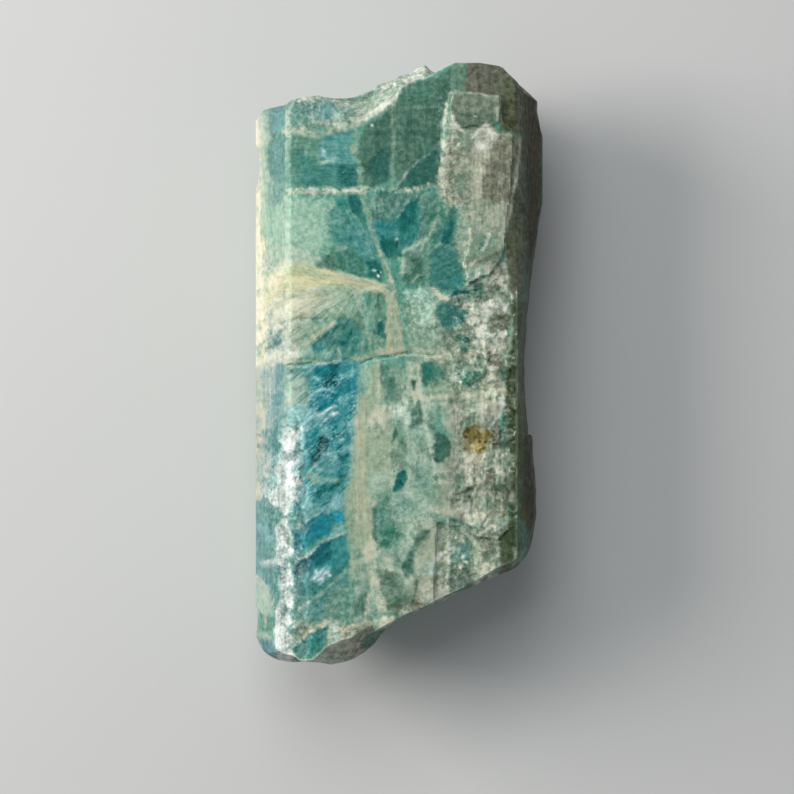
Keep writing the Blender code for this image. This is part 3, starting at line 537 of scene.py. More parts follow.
# Areas: colour, how soft the edge is, strength, outline.
AREAS = [
    ("milky", 1.2, 0.85, [(-16.4, 21.4), (-13.1, 20.8), (-7.7, 19.6), (-6.5, 16.6), (-8.3, 14.8),
        (-9.7, 12.2), (-16.4, 12.2)]),
    ("veil", 0.96, 0.8, [(-16.4, 12.2), (-9.5, 12.2), (-6.5, 9.4), (-9.5, 7.6), (-11.9, 4), (-13.1, -0.2),
        (-17.9, -0.8), (-17.9, 12.2)]),
    ("slate", 0.72, 1, [(-17.9, -0.2), (-13.8, 0.4), (-13.8, -12.8), (-14.8, -16.4), (-14, -23.6),
        (-14.3, -28.4), (-17.9, -29.6)]),
    ("chip", 0.72, 0.45, [(-17.9, -0.2), (-13.8, 0.4), (-13.8, -12.8), (-14.8, -16.4), (-17.9, -16.4)]),
    ("veil", 0.6, 1, [(-17.9, -25.7), (-17.2, -26), (-14, -28.9), (-14, -30.2), (-17.9, -30.3)]),
    ("veil", 0.6, 0.8, [(-17.9, -32.3), (-14.8, -32.7), (-14.8, -33.8), (-17.9, -33.2)]),
    ("dusk", 0.48, 1, [(-17.5, -33.4), (-15.2, -33.3), (-14.9, -34.6), (-15.2, -35.8), (-16.4, -35.6),
        (-17.4, -34.4)]),
    ("slate", 0.36, 1, [(-16, 30.7), (-13.8, 31.4), (-13.8, 27.5), (-15.2, 27.7), (-16, 29)]),
    ("veil", 0.48, 0.9, [(-17.6, 30.2), (-16, 30.7), (-15.5, 27.4), (-15.7, 26.2), (-15.7, 23.8),
        (-14.8, 21.8), (-17.6, 21.8)]),
    ("slate_green", 0.36, 1, [(-15.6, 26.8), (-13.8, 27.1), (-13.8, 21.7), (-14.8, 21.8), (-15.5, 22.5),
        (-16, 24.4), (-16, 25.9)]),
    ("milky", 0.36, 0.8, [(-16.4, 21.8), (-13.8, 21.7), (-13.8, 14.2), (-15.7, 14.1), (-16.4, 16.6)]),
    ("slate_green", 0.6, 0.6, [(-15.7, 21.7), (-13.8, 21.7), (-13.8, 20.1), (-14.3, 19.3), (-15.7, 18.8)]),
    ("veil", 0.18, 0.9, [(-16.4, 12.2), (-16, 13.7), (-14.9, 14.3), (-13.4, 14.3), (-12.2, 14.1),
        (-11.2, 13.6), (-9.5, 12.5), (-10.4, 11.5), (-16.4, 11.5)]),
    ("sage", 0.36, 1, TOP_BREAK),
    ("chip", 0.6, 0.35, TOP_BREAK),
    ("slate_green", 0.48, 0.6, [(-13.1, 31.1), (-9.7, 31.5), (-7.9, 31.1), (-7.8, 29.9), (-8.5, 29.2),
        (-11.4, 29.2), (-11.9, 28.3), (-13.1, 28.3)]),
    ("slate", 0.48, 0.55, [(-10, 31.1), (-5.4, 30.9), (-5.6, 29.7), (-7.6, 29.2), (-9.5, 29.3)]),
    ("milky", 0.36, 0.4, [(-7.9, 30.2), (-6.4, 30.9), (-5.5, 30.7), (-5.6, 29.2), (-7.7, 28.7)]),
    ("pale", 0.48, 0.35, [(-13.1, 29.7), (-9.7, 29.5), (-9.5, 28.3), (-13.1, 28.3)]),
    ("moss", 0.36, 0.8, [(-7.6, 32.2), (-5.3, 32.3), (-0.8, 33.5), (-2.5, 32.3), (-5.3, 31.7),
        (-7.3, 31.7)]),
    ("chip", 0.36, 0.5, [(0.1, 34.5), (1.1, 35.5), (3, 36.3), (4.4, 35), (0.6, 33.5)]),
    ("cream", 0.24, 0.7, [(-4, 29.7), (-3.2, 30.8), (-1.3, 31.6), (-0.1, 32.6), (0.1, 32), (-1.1, 30.9),
        (-2.8, 29.9)]),
    ("green", 0.14, 1, UPPER_WINDOW),
    ("milky", 0.72, 0.3, UPPER_WINDOW),
    ("teal_blue", 0.6, 0.8, [(-9.2, 27.1), (-7.7, 27.9), (-5.3, 27.9), (-5.3, 26.5), (-5.6, 25.6),
        (-5.4, 24.4), (-6.5, 23.5), (-8.9, 23.8), (-9.7, 25)]),
    ("milky", 0.6, 0.22, [(-9.2, 27.1), (-7.7, 27.9), (-5.3, 27.9), (-5.6, 25.6), (-5.4, 24.4), (-6.5, 23.5),
        (-8.9, 23.8), (-9.7, 25)]),
    ("teal", 0.72, 0.7, [(-12.4, 25.6), (-9.5, 23.8), (-5.2, 23.8), (-4.8, 21.1), (-11.9, 21.1)]),
    ("moss", 0.18, 1, [(-4, 28.3), (-2.9, 29.2), (-0.8, 30.7), (0.1, 31.9), (-0.6, 28), (-1, 22.3),
        (-3.5, 20.9), (-4.2, 21.5), (-4.9, 24.9), (-4.6, 26.8)]),
    ("moss", 0.24, 1, [(-0.4, 31.1), (0.2, 32.5), (1.3, 33.4), (4.9, 34.5), (6.2, 35.5), (6.4, 32.8),
        (5.5, 30.4), (4.9, 26.8), (4.9, 25.4), (4.6, 23.5), (4.4, 21.3), (-0.1, 20.8), (-0.6, 23.2),
        (-0.6, 28)]),
    ("green", 0.6, 0.5, [(0.1, 33.3), (3.7, 34), (3.5, 31.9), (0.4, 31.6)]),
    ("dark_moss", 0.48, 0.6, [(0.4, 30.4), (5.3, 30.5), (4.9, 26.2), (2.5, 26.1), (0.6, 26.8)]),
    ("sage", 0.24, 1, [(6.2, 35.7), (7.7, 36.2), (7.9, 32.6), (6.4, 32.6)]),
    ("moss", 0.36, 0.5, [(6.4, 35.2), (7.6, 35.5), (7.6, 32.8), (6.5, 32.8)]),
    ("stone", 0.3, 1, [(7.8, 36.4), (12.7, 36.4), (13.6, 34.6), (13.6, 31.9), (11.9, 31.9), (7.9, 32.6)]),
    # Painted shade: from here the right side's olive rock is laid in shade, night and night_green, darker
    # because it lies away from the lamps.
    ("shade", 0.6, 1, [(12.1, 36.4), (17.5, 32.2), (17.5, 26.8), (12.1, 27.8)]),
    ("night", 0.72, 1, [(15, 32.1), (17.5, 31), (17.5, -40.4), (15.7, -40.4), (15.5, 7.6), (15, 19.6)]),
    ("shade", 0.36, 1, [(14.6, 27.5), (15.7, 27.5), (15.7, 20.8), (15, 7.6), (13.6, 7.6), (12.7, 12.7),
        (12.7, 15.4), (14.4, 23.8)]),
    ("night_green", 0.48, 1, [(13.3, 7.6), (15.2, 7.6), (15.2, 0.4), (14, -18.8), (15.7, -33.2),
        (19.3, -33.2), (19.3, -8), (16.4, -8), (16, 7.6), (16, -40.4), (12.1, -30.8), (11.8, -20),
        (13.3, -18.8), (13.8, -16.4), (13.1, -10.4), (12.5, -8), (12.7, -2), (13.6, 4)]),
    ("night", 0.6, 1, [(13.8, 0.4), (16.2, 0.4), (17.5, -18.8), (15.7, -20), (14.5, -18.8), (13.8, -10.4)]),
    ("slab", 0.12, 1, [(6.1, 32.5), (9.7, 32.5), (10.6, 32.1), (12.1, 32), (11.9, 29.2), (11.2, 28.7),
        (10, 28.4), (9.5, 28), (7.6, 28), (6.7, 28.4), (6.2, 30.2)]),
    ("rock", 0.48, 0.25, [(6.1, 32.5), (9.7, 32.5), (12.1, 32), (12, 30.2), (6.2, 30.2)]),
    # Painted shade on the plate's right end.
    ("night", 0.48, 0.3, [(12.2, 31.9), (14, 32.1), (14.8, 27.5), (12.2, 27.8)]),
    ("rock_dark", 0.24, 1, ROUGH_PLATE),
    ("rock", 0.24, 0.55, ROUGH_PLATE),
    ("sage", 0.48, 0.6, [(6.7, 27.8), (8.8, 27.8), (8.5, 25.6), (7, 25.6)]),
    ("sage", 0.72, 0.5, [(6.1, 23), (8.3, 23), (8.3, 20.1), (6.4, 20.1)]),
    ("sage", 0.6, 0.6, [(8.5, 19.6), (12.1, 19.6), (12.5, 16), (9.7, 14.8), (8, 12.2), (7.6, 13.6),
        (8.5, 16.6)]),
    ("rock", 0.6, 0.5, [(9, 19), (12.1, 19.3), (12.5, 13.6), (8.8, 12.2)]),
    ("chip", 0.18, 0.8, [(9.6, 28.3), (10.4, 28.7), (11, 28.6), (11.4, 27.9), (12, 27.3), (11.8, 26.7),
        (9.7, 27.1), (8.9, 27.1), (8.8, 27.4)]),
    ("chip", 0.36, 0.5, [(9, 26.6), (11.3, 26.6), (11.4, 25.1), (10.2, 24.8), (8.8, 25.4)]),
    ("bark", 0.48, 0.7, [(10.2, 24.2), (11.6, 26.6), (14, 27.1), (14.5, 25), (13.6, 19.4), (11.9, 19.4),
        (10, 19.9)]),
    ("cream", 0.48, 0.4, [(9.7, 25.6), (11.2, 25.4), (10.2, 23.2), (10, 20.2), (8.3, 14.8), (9.2, 23.8)]),
    ("rock", 0.18, 0.8, [(5.5, 31.3), (6.1, 31.3), (6.8, 29.2), (7.3, 28.4), (6.4, 27.9), (6, 26.8),
        (5.8, 25.6), (6, 23.8), (6, 22), (5.3, 20.8), (4.6, 22), (4.4, 23.7), (4.9, 25.4)]),
    ("beige", 0.36, 0.6, [(4.4, 22), (6.1, 21.8), (6.4, 19.9), (7.1, 18.7), (5.6, 17.8), (5, 19.6),
        (4.4, 20.6)]),
    ("sage", 0.48, 0.8, [(9.1, 15.8), (12.4, 15.3), (12.6, 13.6), (10.3, 12.7), (8.3, 12.2)]),
    ("stone", 0.36, 0.8, [(9.5, 12.2), (12.1, 13.1), (13, 11.2), (13.6, 8.8), (13.6, 7.6), (9.7, 7.6),
        (10.9, 10.6)]),
    ("teal", 0.96, 0.9, [(-3.2, 20.6), (4.6, 20.6), (5.2, 17.8), (4.9, 14.8), (3.1, 13.6), (0.1, 13.6),
        (-3.2, 16)]),
    ("moss", 0.96, 0.5, UNDER_SEAM),
    ("veil", 0.96, 0.2, UNDER_SEAM),
    ("green", 0.72, 0.8, [(3.7, 19), (8, 19), (7.3, 8.8), (3.7, 8.8), (3, 14.8)]),
    ("moss", 0.36, 0.9, [(0.4, 12.7), (1.1, 13.4), (3, 13.6), (3.1, 9.3), (0.6, 9.5)]),
    ("rock", 0.48, 0.55, [(7.1, 18.8), (8.5, 18.1), (8.5, 15.8), (7.8, 12.9), (7, 12.2), (6.7, 14.8)]),
    ("rock", 0.48, 0.6, [(7.7, 11.2), (9.7, 12.2), (12.7, 12.2), (13.1, 7.6), (9.5, 7.6), (7.8, 8.8)]),
    ("dark_moss", 0.36, 0.5, [(8, 9.8), (9.7, 10.6), (10.2, 8.8), (8.8, 8.2)]),
    ("teal", 0.84, 0.9, [(-8.3, 18.4), (-6.5, 18.2), (-4.7, 16.6), (-3.5, 16.6), (-2.5, 12.2), (-3.7, 11.7),
        (-5.6, 13.6), (-7.7, 14.6), (-8.5, 16.3)]),
    ("milky", 0.6, 0.3, [(-7.4, 18.2), (-5.9, 18.4), (-5.2, 17), (-5.6, 15.3), (-7.1, 15.3), (-8, 16.7)]),
    ("slate", 0.72, 0.5, [(-5.9, 16.6), (-3.5, 16.3), (-2.8, 13.6), (-3.7, 12.2), (-5.4, 13.4)]),
    ("green", 0.18, 1, [(-9.6, 12.2), (-8.6, 13), (-7.1, 14), (-5.6, 13.6), (-4.4, 12.7), (-4, 11.2),
        (-3.8, 10.3), (-10.1, 11.7)]),
    ("moss", 0.36, 0.7, [(-10, 12.1), (-8.3, 13.1), (-7.1, 12.2), (-7.6, 11.2), (-9.5, 11.5)]),
    ("yellow", 0.36, 0.95, [(-17.9, 8.8), (-16, 9.8), (-14, 11.7), (-12.4, 12.2), (-10.4, 11.6),
        (-8.9, 11.5), (-6.5, 10.9), (-1.6, 9.3), (-1.3, 8.3), (-7.7, 9.1), (-9.2, 9.4), (-12.4, 8.2),
        (-13.8, 8.3), (-15.5, 7.4), (-16.9, 6.2), (-17.9, 6.2)]),
    # Painted light: glow here and two areas on is the left lamp's glow where the yellow band and the pale
    # stone reach the left edge.
    ("glow", 0.6, 0.8, [(-17.9, 9.8), (-13.8, 12.2), (-12.8, 11.9), (-16.4, 7.4), (-17.9, 6.2)]),
    ("beige", 0.48, 0.7, [(-8.3, 10.7), (-5.9, 10.5), (-1.6, 9.3), (-1.6, 8.3), (-5.9, 9.1)]),
    ("sage", 0.72, 0.8, [(-13.8, 8.6), (-6.5, 8.8), (-4.7, 7.6), (-3.2, 1.4), (-13.1, 0.2), (-13.8, 4)]),
    ("cream", 1.2, 0.62, [(-17.6, 7), (-11.9, 8.8), (-6.5, 8.8), (-7.1, 7), (-10, 5), (-12.1, 2.2),
        (-13.1, -0.2), (-17.6, -0.2)]),
    ("glow", 1.2, 0.35, [(-17.6, 7.6), (-11.9, 8.8), (-9.5, 8.6), (-14.3, 4), (-17.6, 2.8)]),
    ("milky", 0.96, 0.55, [(-7.7, 8.8), (-4, 8.6), (-3.7, 5.2), (-7.1, 5.7), (-10, 4), (-11.9, 2.2),
        (-12.4, 4), (-9.7, 6.2)]),
    ("teal", 0.36, 0.8, [(-11.9, 0.7), (-11.9, 1.9), (-10.7, 2.2), (-7.4, 5.2), (-6.5, 5.5), (-5.6, 5.2),
        (-5.2, 4.5), (-3.8, 3.3), (-3.7, 1.6), (-5.2, 0.9), (-7.1, 0.9), (-8.3, 0.4)]),
    ("milky", 0.6, 0.5, [(-11.9, 0.7), (-11.9, 1.9), (-9.5, 2.3), (-7.8, 1.6), (-7.1, 0.9), (-8.3, 0.4)]),
    ("teal", 0.3, 0.6, [(-10.6, 5.2), (-10, 5.7), (-9.4, 5.5), (-9.7, 4.9)]),
    ("chip", 0.48, 0.5, [(-17.6, 6.2), (-16, 6.7), (-14.3, 4), (-12.1, 3.3), (-11.9, 1.4), (-13.6, -0.1),
        (-17.6, -0.3)]),
    ("slate_green", 0.72, 0.45, [(-16.4, 3.1), (-13.8, 3.8), (-13.8, 2.1), (-16, 1.6)]),
    ("sage", 0.48, 0.6, [(-3.7, 8.6), (-1.8, 8.6), (-1.3, 1.4), (-3, 1.4)]),
    ("straw", 0.18, 0.9, [(-1.9, 8.6), (-0.8, 8.7), (-0.2, 7.6), (0, 5.8), (0.6, 4), (0.7, 0.9), (-1.3, 0.9),
        (-1.6, 2.8), (-1.6, 5.2)]),
    ("beige", 0.24, 0.6, [(-1.6, 8.5), (-0.8, 8.6), (-0.2, 7.6), (0.4, 1.1), (-1.3, 1.1), (-1.6, 2.8)]),
    ("fern", 0.72, 1, FIELD),
    ("rock", 0.72, 0.5, FIELD),
    ("rock", 1.44, 0.3, [(5.6, -4.4), (12.6, -4.4), (12.8, -18.8), (4.9, -18.2)]),
    ("sage", 0.96, 0.8, PALE_MIDDLE),
    ("veil", 0.96, 0.45, PALE_MIDDLE),
    ("milky", 0.3, 0.7, [(0.4, 8.8), (3.7, 9.3), (4.6, 8.7), (4.8, 7.4), (3.7, 4.6), (3, 5), (1.1, 7.4)]),
    ("cream", 0.18, 0.8, [(3.5, 9.2), (4.4, 9.4), (4.9, 8.5), (6, 8.3), (6.1, 7.7), (4.9, 7.7), (3.7, 8.3)]),
    ("rock", 0.36, 0.6, [(8.3, 6.9), (10.9, 7.3), (13.1, 7.3), (13.3, 6.3), (12.1, 5.9), (11, 5.2),
        (10.9, 2.2), (8.5, 2.2), (8, 3.5), (8.5, 5.5)]),
    ("chip", 0.36, 0.6, [(9.2, 7.1), (10.9, 7.3), (12.1, 7.7), (13.1, 7.3), (13.2, 6.3), (12.1, 6.1),
        (10.9, 5.3), (10.9, 3.5), (10, 2.3), (9.2, 3.5), (9.5, 5.5)]),
    ("bark", 0.24, 0.7, [(11, 5.2), (11.8, 5.8), (12.7, 5.9), (13.4, 5.7), (13.4, 4.7), (12.7, 4), (11.9, 4),
        (11.2, 3.8)]),
    ("chip", 0.36, 0.6, [(11.5, 3.9), (12.7, 4.1), (13.2, 3.3), (12.4, 2.5), (11.4, 2.2), (10.9, 2.8)]),
    ("bark", 0.48, 0.5, [(12.1, 2.8), (13.2, 3.1), (13, 1.4), (11.6, 1.6)]),
    ("cream", 0.6, 0.45, [(3.7, 1.7), (12.1, 2.1), (11.6, 1.1), (3.7, 0.2)]),
    ("cream", 0.48, 0.65, [(10, -0.8), (12.1, -0.5), (12.7, -3.4), (9.7, -3.7)]),
    ("straw", 0.48, 0.7, [(3.7, -2.7), (9.7, -2.7), (9.7, -4.4), (3.7, -4.6)]),
    ("bark", 0.36, 0.8, [(10.6, 1.1), (11.2, 1.3), (12.1, 0.9), (12.7, 0.2), (12.5, -1), (10.7, 0.2)]),
    ("fern", 0.36, 0.6, [(7.3, -4.5), (9.2, -4.4), (9.2, -7.3), (7.3, -7.3)]),
    ("veil", 0.24, 0.5, [(5, -4.5), (5.9, -4.5), (5.9, -7.3), (5.2, -7.3)]),
    ("rock", 0.36, 0.4, [(9.7, -4.4), (12.4, -4.1), (12.4, -5.8), (11.2, -7.3), (9.7, -6.5)]),
    ("bark", 0.36, 0.8, [(10.9, -7.7), (12, -7), (12.5, -9.2), (11.4, -9.9)]),
    ("olive", 0.3, 0.95, [(7.7, -8.1), (8, -7.7), (9.5, -7.4), (10.9, -8), (11.2, -8.5), (10.2, -10.5),
        (9.5, -10.9), (8, -10.6), (7.6, -9.5)]),
    ("cream", 0.3, 0.45, [(9.4, -7.7), (10.4, -7.6), (10.6, -8.5), (9.7, -8.8)]),
    ("ochre", 0.48, 0.35, [(9, -9.4), (10.4, -8.9), (10.4, -10), (9.2, -10.7)]),
    ("rock", 0.24, 0.6, [(7.8, -11.5), (8.8, -11.5), (8.9, -14.6), (7.9, -14.7)]),
    ("cream", 0.24, 0.45, [(9.1, -11.7), (10.2, -11.6), (10, -17.1), (9, -17.1)]),
    ("bark", 0.36, 0.6, [(10.3, -12.9), (11.5, -12.4), (11.8, -14.6), (10.4, -14.9)]),
    ("rock_dark", 0.24, 0.8, [(6.5, -15.3), (7.4, -15.2), (7.4, -16.4), (6.4, -17.1)]),
    ("rock_dark", 0.18, 0.8, [(7.9, -14.8), (8.9, -14.8), (8.9, -16.7), (7.8, -16.7)]),
    ("rock_dark", 0.48, 0.5, [(10.4, -14.7), (12.7, -14.6), (13, -18.2), (10.7, -18.2)]),
    ("cream", 0.6, 0.4, [(3.5, -17), (5.9, -17), (8.5, -17.8), (12.7, -17), (13.1, -18.5), (8.5, -18.9),
        (3.7, -18.3)]),
    # Painted shade along the right edge of the chipped field.
    ("night_green", 0.36, 0.8, [(13.1, 1.6), (14.3, 1.6), (14.8, -9.2), (15, -23.6), (13.9, -23.6),
        (13.3, -18.8), (13.3, -10.4), (13, -8), (12.8, -4.4)]),
    ("moss", 0.36, 0.5, [(12.4, -5.8), (13.1, -4.6), (13.2, -10.4), (12.4, -10.1)]),
    ("green", 1.2, 0.8, BOTTOM),
    ("veil", 1.2, 0.55, BOTTOM),
    ("sage", 0.6, 0.7, [(-2, -0.1), (0.6, -0.1), (0.4, -4.6), (-1.6, -4.6)]),
    ("milky", 0.3, 0.55, [(-4.7, -0.3), (-3.4, -0.1), (-3.4, -2), (-3.6, -3.7), (-5, -4)]),
    ("straw", 0.36, 0.9, [(-5, -4), (-3.4, -3.4), (-3.2, 0.2), (-2.3, 0.2), (-1.8, -3.7), (-3.5, -6.5),
        (-4, -9.2), (-3.8, -14), (-3.4, -16.4), (-3.2, -23.6), (-4.2, -23.6), (-6.2, -20.2), (-6.6, -17.6),
        (-6.7, -15.9), (-6.1, -14), (-5.9, -9.2)]),
    ("beige", 0.24, 0.5, [(-5, -4.9), (-4.3, -5.8), (-4, -8), (-4, -12.8), (-3.6, -16.4), (-3.6, -20),
        (-4.4, -21.2), (-5.2, -16.4)]),
    ("sage", 0.36, 0.45, [(-6.1, -17.8), (-5, -17.6), (-4.9, -20.5), (-6, -20.2)]),
    ("straw", 0.6, 0.55, [(-6.4, -20.7), (-5.2, -21.9), (-4.2, -23.6), (-4, -25), (-5.6, -26),
        (-6.4, -25.3)]),
    ("cream", 0.36, 0.5, [(1.1, 0.2), (2.5, 0.2), (2.5, -2.9), (3, -4.1), (1.6, -4.6), (0.8, -3.4)]),
    ("cream", 0.36, 0.85, [(-3.7, -5.8), (-2.8, -5.1), (-1.1, -5.3), (-1, -6.3), (-2, -8), (-2.5, -7.3),
        (-3.7, -7.5)]),
    ("chip", 0.36, 0.35, [(-0.7, -5.1), (0.1, -4.9), (1.4, -5.1), (1.3, -6.1), (-0.4, -6.8)]),
    ("sage", 0.6, 0.5, PALE_RIBBON),
    ("straw", 0.6, 0.65, PALE_RIBBON),
    ("slate_green", 0.6, 0.6, [(2, -12.1), (3.7, -12.1), (3.8, -14.9), (2, -15.2)]),
    ("milky", 0.96, 0.12, [(0.7, -9.2), (4, -12.8), (4, -17), (0.1, -18.2), (-0.4, -16.4)]),
    ("sage", 0.72, 0.4, [(-0.1, -9.2), (4, -9.2), (4.2, -16.4), (-0.1, -16.4)]),
    ("teal", 0.48, 0.3, [(-0.8, -16.1), (1.7, -15.7), (1.8, -18.1), (-0.4, -18.5)]),
    ("green", 0.72, 0.6, [(-2.8, -15.7), (-0.6, -15.7), (-0.1, -20), (-0.4, -22.6), (-2.3, -22.9)]),
    ("rock", 0.6, 0.5, [(-2.5, -22.1), (-0.6, -22.6), (-0.8, -25.5), (-2, -25.7)]),
    ("rock_dark", 0.6, 0.6, [(-2.4, -24.9), (0.6, -25), (0.6, -28.4), (-0.6, -30.2), (-1.8, -29.3)]),
    ("moss", 0.6, 0.4, [(-2.2, -24.9), (0.6, -25), (0.6, -28.4), (-0.6, -30.2), (-1.8, -29.3)]),
    ("dark_moss", 0.48, 0.4, [(-0.6, -26.7), (0.6, -26.5), (0.4, -29.1), (-0.8, -30.1)]),
    ("moss", 0.36, 0.6, [(-5.6, -29), (-4.6, -28.1), (-3.7, -26.3), (-3.4, -28.1), (-4, -29.9),
        (-5.6, -30.5)]),
    ("rock", 1.2, 0.7, [(2.3, -19.3), (11.9, -19.3), (11.9, -25.7), (5.6, -28.4), (2.3, -28.4)]),
    ("rock_dark", 0.72, 0.4, [(2.3, -19.3), (6.1, -18.8), (11.8, -20), (11.9, -25.7), (2.3, -26.2)]),
    ("straw", 0.72, 0.4, [(2.8, -20), (5.8, -19.5), (6.1, -25.7), (3.5, -26.2), (2.3, -23.6)]),
    ("icy", 0.48, 0.3, [(3, -24.3), (4.2, -23.8), (4.7, -25.3), (3, -25.7)]),
    ("moss", 0.72, 0.3, [(6.2, -19.3), (9, -19.5), (9.2, -21.8), (6.4, -21.9)]),
    ("slate_green", 0.48, 0.6, [(6.1, -21.8), (8.3, -21.8), (8.8, -23.8), (6.2, -23.8)]),
    ("straw", 0.36, 0.6, [(8.6, -21.2), (9.5, -21.3), (10, -23.6), (9.5, -25), (8.8, -23.6)]),
    ("rock_dark", 0.48, 0.4, RIGHT_FOOT),
    ("bark", 0.48, 0.4, RIGHT_FOOT),
    ("cream", 0.48, 0.5, [(9.4, -23.6), (11.4, -23.3), (11.6, -25.5), (9.5, -26)]),
    ("slab", 0.18, 0.9, [(6, -24.9), (6.8, -24.7), (8.5, -24.5), (9, -25.4), (9.1, -27.4), (6, -27.9)]),
    ("rock_dark", 0.72, 0.7, [(1.6, -26), (5.9, -25.7), (5.9, -28.6), (0.1, -30.5), (0.4, -28.4)]),
    ("rock", 0.72, 0.65, [(2.2, -25.7), (5.9, -25.7), (5.9, -28.6), (0.7, -30.3)]),
    ("bark", 0.48, 0.6, [(-0.8, -28.9), (1.9, -28.4), (4, -28.6), (2.5, -29.8), (-0.8, -31)]),
    ("icy", 0.72, 1, BLUE),
    ("blue", 0.72, 1, BLUE),
    ("slate", 0.72, 0.8, [(-13.1, -1), (-10.4, -0.3), (-10.7, -3.8), (-11.4, -5.8), (-13.1, -6.2)]),
    ("veil", 0.6, 0.75, [(-13.8, -2), (-11.9, -1.5), (-10.9, -2.5), (-10.9, -4.9), (-12.4, -5.3),
        (-13.8, -5.3)]),
    ("icy", 0.48, 0.8, [(-13.8, -5.3), (-11.2, -4.9), (-10.2, -5.7), (-11.2, -7.7), (-12.4, -7.7),
        (-13.8, -7.3)]),
    ("teal_blue", 0.48, 0.8, [(-7.6, -0.3), (-5, -0.3), (-5.2, -2.5), (-5.6, -4), (-7.1, -4), (-7.6, -2.6)]),
    ("icy", 0.6, 0.35, [(-11.5, -5), (-10, -4.9), (-9.5, -6.1), (-10.4, -8.2), (-11.9, -8.2)]),
    ("teal_blue", 0.48, 0.8, [(-7.3, -4.4), (-5.8, -4.1), (-6, -12.8), (-7.1, -12.8)]),
    ("icy", 0.48, 0.25, [(-10.4, -5.8), (-8.3, -4.9), (-7.6, -5.3), (-9.2, -7.7), (-10.4, -8.2)]),
    ("slate", 0.36, 0.8, [(-9.7, -11), (-8.3, -10.6), (-7.3, -11), (-7.1, -11.8), (-7.3, -12.8),
        (-8.3, -13.4), (-9.5, -13.3), (-10.2, -12.5), (-10.2, -11.6)]),
    ("milky", 0.36, 0.7, [(-10.9, -13.5), (-9.7, -13.3), (-7.8, -13.7), (-6.5, -13.5), (-6.7, -14.2),
        (-8.3, -14.5), (-10.2, -14.5)]),
    ("teal", 0.36, 0.8, [(-7.3, -13), (-6.2, -12.5), (-6.4, -14.7), (-6.8, -15.7), (-7.3, -14.9)]),
    ("slate", 0.6, 0.9, [(-12.6, -16.6), (-6.5, -15.7), (-6.5, -17.8), (-8.3, -17.8), (-10, -18.3),
        (-13, -20.2)]),
    ("icy", 0.6, 0.3, [(-11.9, -14.7), (-10, -14.7), (-9.7, -16.4), (-7.3, -16), (-7.1, -17.3),
        (-9.7, -17.6), (-12.4, -16.4)]),
    ("icy", 0.24, 0.4, [(-12.7, -22.6), (-10.7, -22.4), (-8.9, -21.2), (-7.1, -19.3), (-6.5, -19.5),
        (-6.5, -20.5), (-10.1, -22.1), (-12.6, -24.8)]),
    ("teal", 0.36, 0.9, [(-12.4, -26), (-10.4, -24.8), (-6.1, -23.8), (-6.4, -27.2), (-7.3, -31),
        (-11.6, -31)]),
    ("slate_green", 0.72, 0.7, [(-11.5, -29.1), (-6.4, -25.3), (-6.4, -31), (-11.5, -31)]),
    ("sage", 0.72, 0.6, [(-8.3, -27.2), (-6.4, -26.7), (-6.4, -31), (-9.5, -31)]),
    ("sage", 0.48, 1, LOW_BREAK),
    ("veil", 0.48, 0.3, LOW_BREAK),
    ("icy", 0.36, 0.5, [(-8.2, -31), (-7, -31.1), (-7.2, -33.2), (-7.8, -34.1)]),
    ("rock_dark", 0.36, 1, LOW_CHIP),
    ("rock", 0.36, 0.6, LOW_CHIP),
    ("cream", 0.18, 0.9, [(-3, -32.3), (-2.9, -30.8), (-1.7, -30.4), (-0.4, -30.3), (-0.7, -31.3),
        (-1.8, -32)]),
    ("dark_moss", 0.24, 1, [(-4.2, -33.3), (-3, -32.3), (-1.6, -32.2), (-0.6, -31.7), (-1.3, -33.4),
        (-2.5, -34.6), (-4, -35.1)]),
    ("slate_green", 0.36, 0.6, WORN_EDGE),
    ("icy", 0.48, 0.45, [(-14.3, -6.8), (-11.5, -7.3), (-11.6, -16.4), (-12.4, -18.8), (-13.8, -16.4),
        (-16.4, -16.1), (-14.8, -10.4)]),
    ("white", 0.24, 0.72, [(-13.9, -7.4), (-12.1, -7.7), (-12, -9.2), (-12.6, -10.4), (-12.1, -11.6),
        (-13.1, -12.8), (-11.9, -13.4), (-12, -14.6), (-12.8, -15.2), (-12, -16), (-12.7, -16.7),
        (-13.3, -17.8), (-13.2, -19.3), (-12.7, -20.5), (-12.8, -22.4), (-13.4, -23.6), (-12.8, -25),
        (-12.6, -27.2), (-12.2, -28.4), (-13.1, -29.8), (-12.7, -31), (-13.4, -32.2), (-12.6, -33.4),
        (-12.5, -35), (-13.1, -36.4), (-14.9, -35.8), (-15.2, -32.2), (-14.8, -30.8), (-14.9, -29.6),
        (-14.3, -28.4), (-14.4, -26), (-14.2, -24.5), (-15, -23.8), (-14.8, -21.8), (-14.8, -20),
        (-14, -18.5), (-14.5, -17.3), (-15.5, -17), (-16.2, -16), (-15.2, -15.2), (-14.3, -14),
        (-14.8, -12.8), (-14.2, -11), (-14.3, -9.2)]),
    # Painted light: the left edge strip, laid in glow where it catches the left lamp.
    ("glow", 0.6, 1, [(-18.5, 30.7), (-17.3, 30.4), (-16.9, 28.3), (-17, 23.8), (-16.6, 21.4), (-16.6, 16),
        (-16, 13.6), (-16.2, 7.6), (-16, 4), (-16.4, -0.5), (-18.5, -0.5)]),
    ("cream", 0.48, 0.8, [(-18.5, -0.3), (-16.7, -0.3), (-16.4, -6.8), (-16.9, -16.4), (-18.5, -16.4)]),
    # Painted shade along the right edge of the broad face.
    ("night_green", 0.24, 0.8, [(13.6, 7.6), (15.7, 7.6), (15.7, -16.4), (13.4, -16.4), (13.2, -8),
        (12.8, -5), (13, -2), (13.8, 4.6)]),
    ("rock", 0.48, 0.45, LOW_BREAK),
]

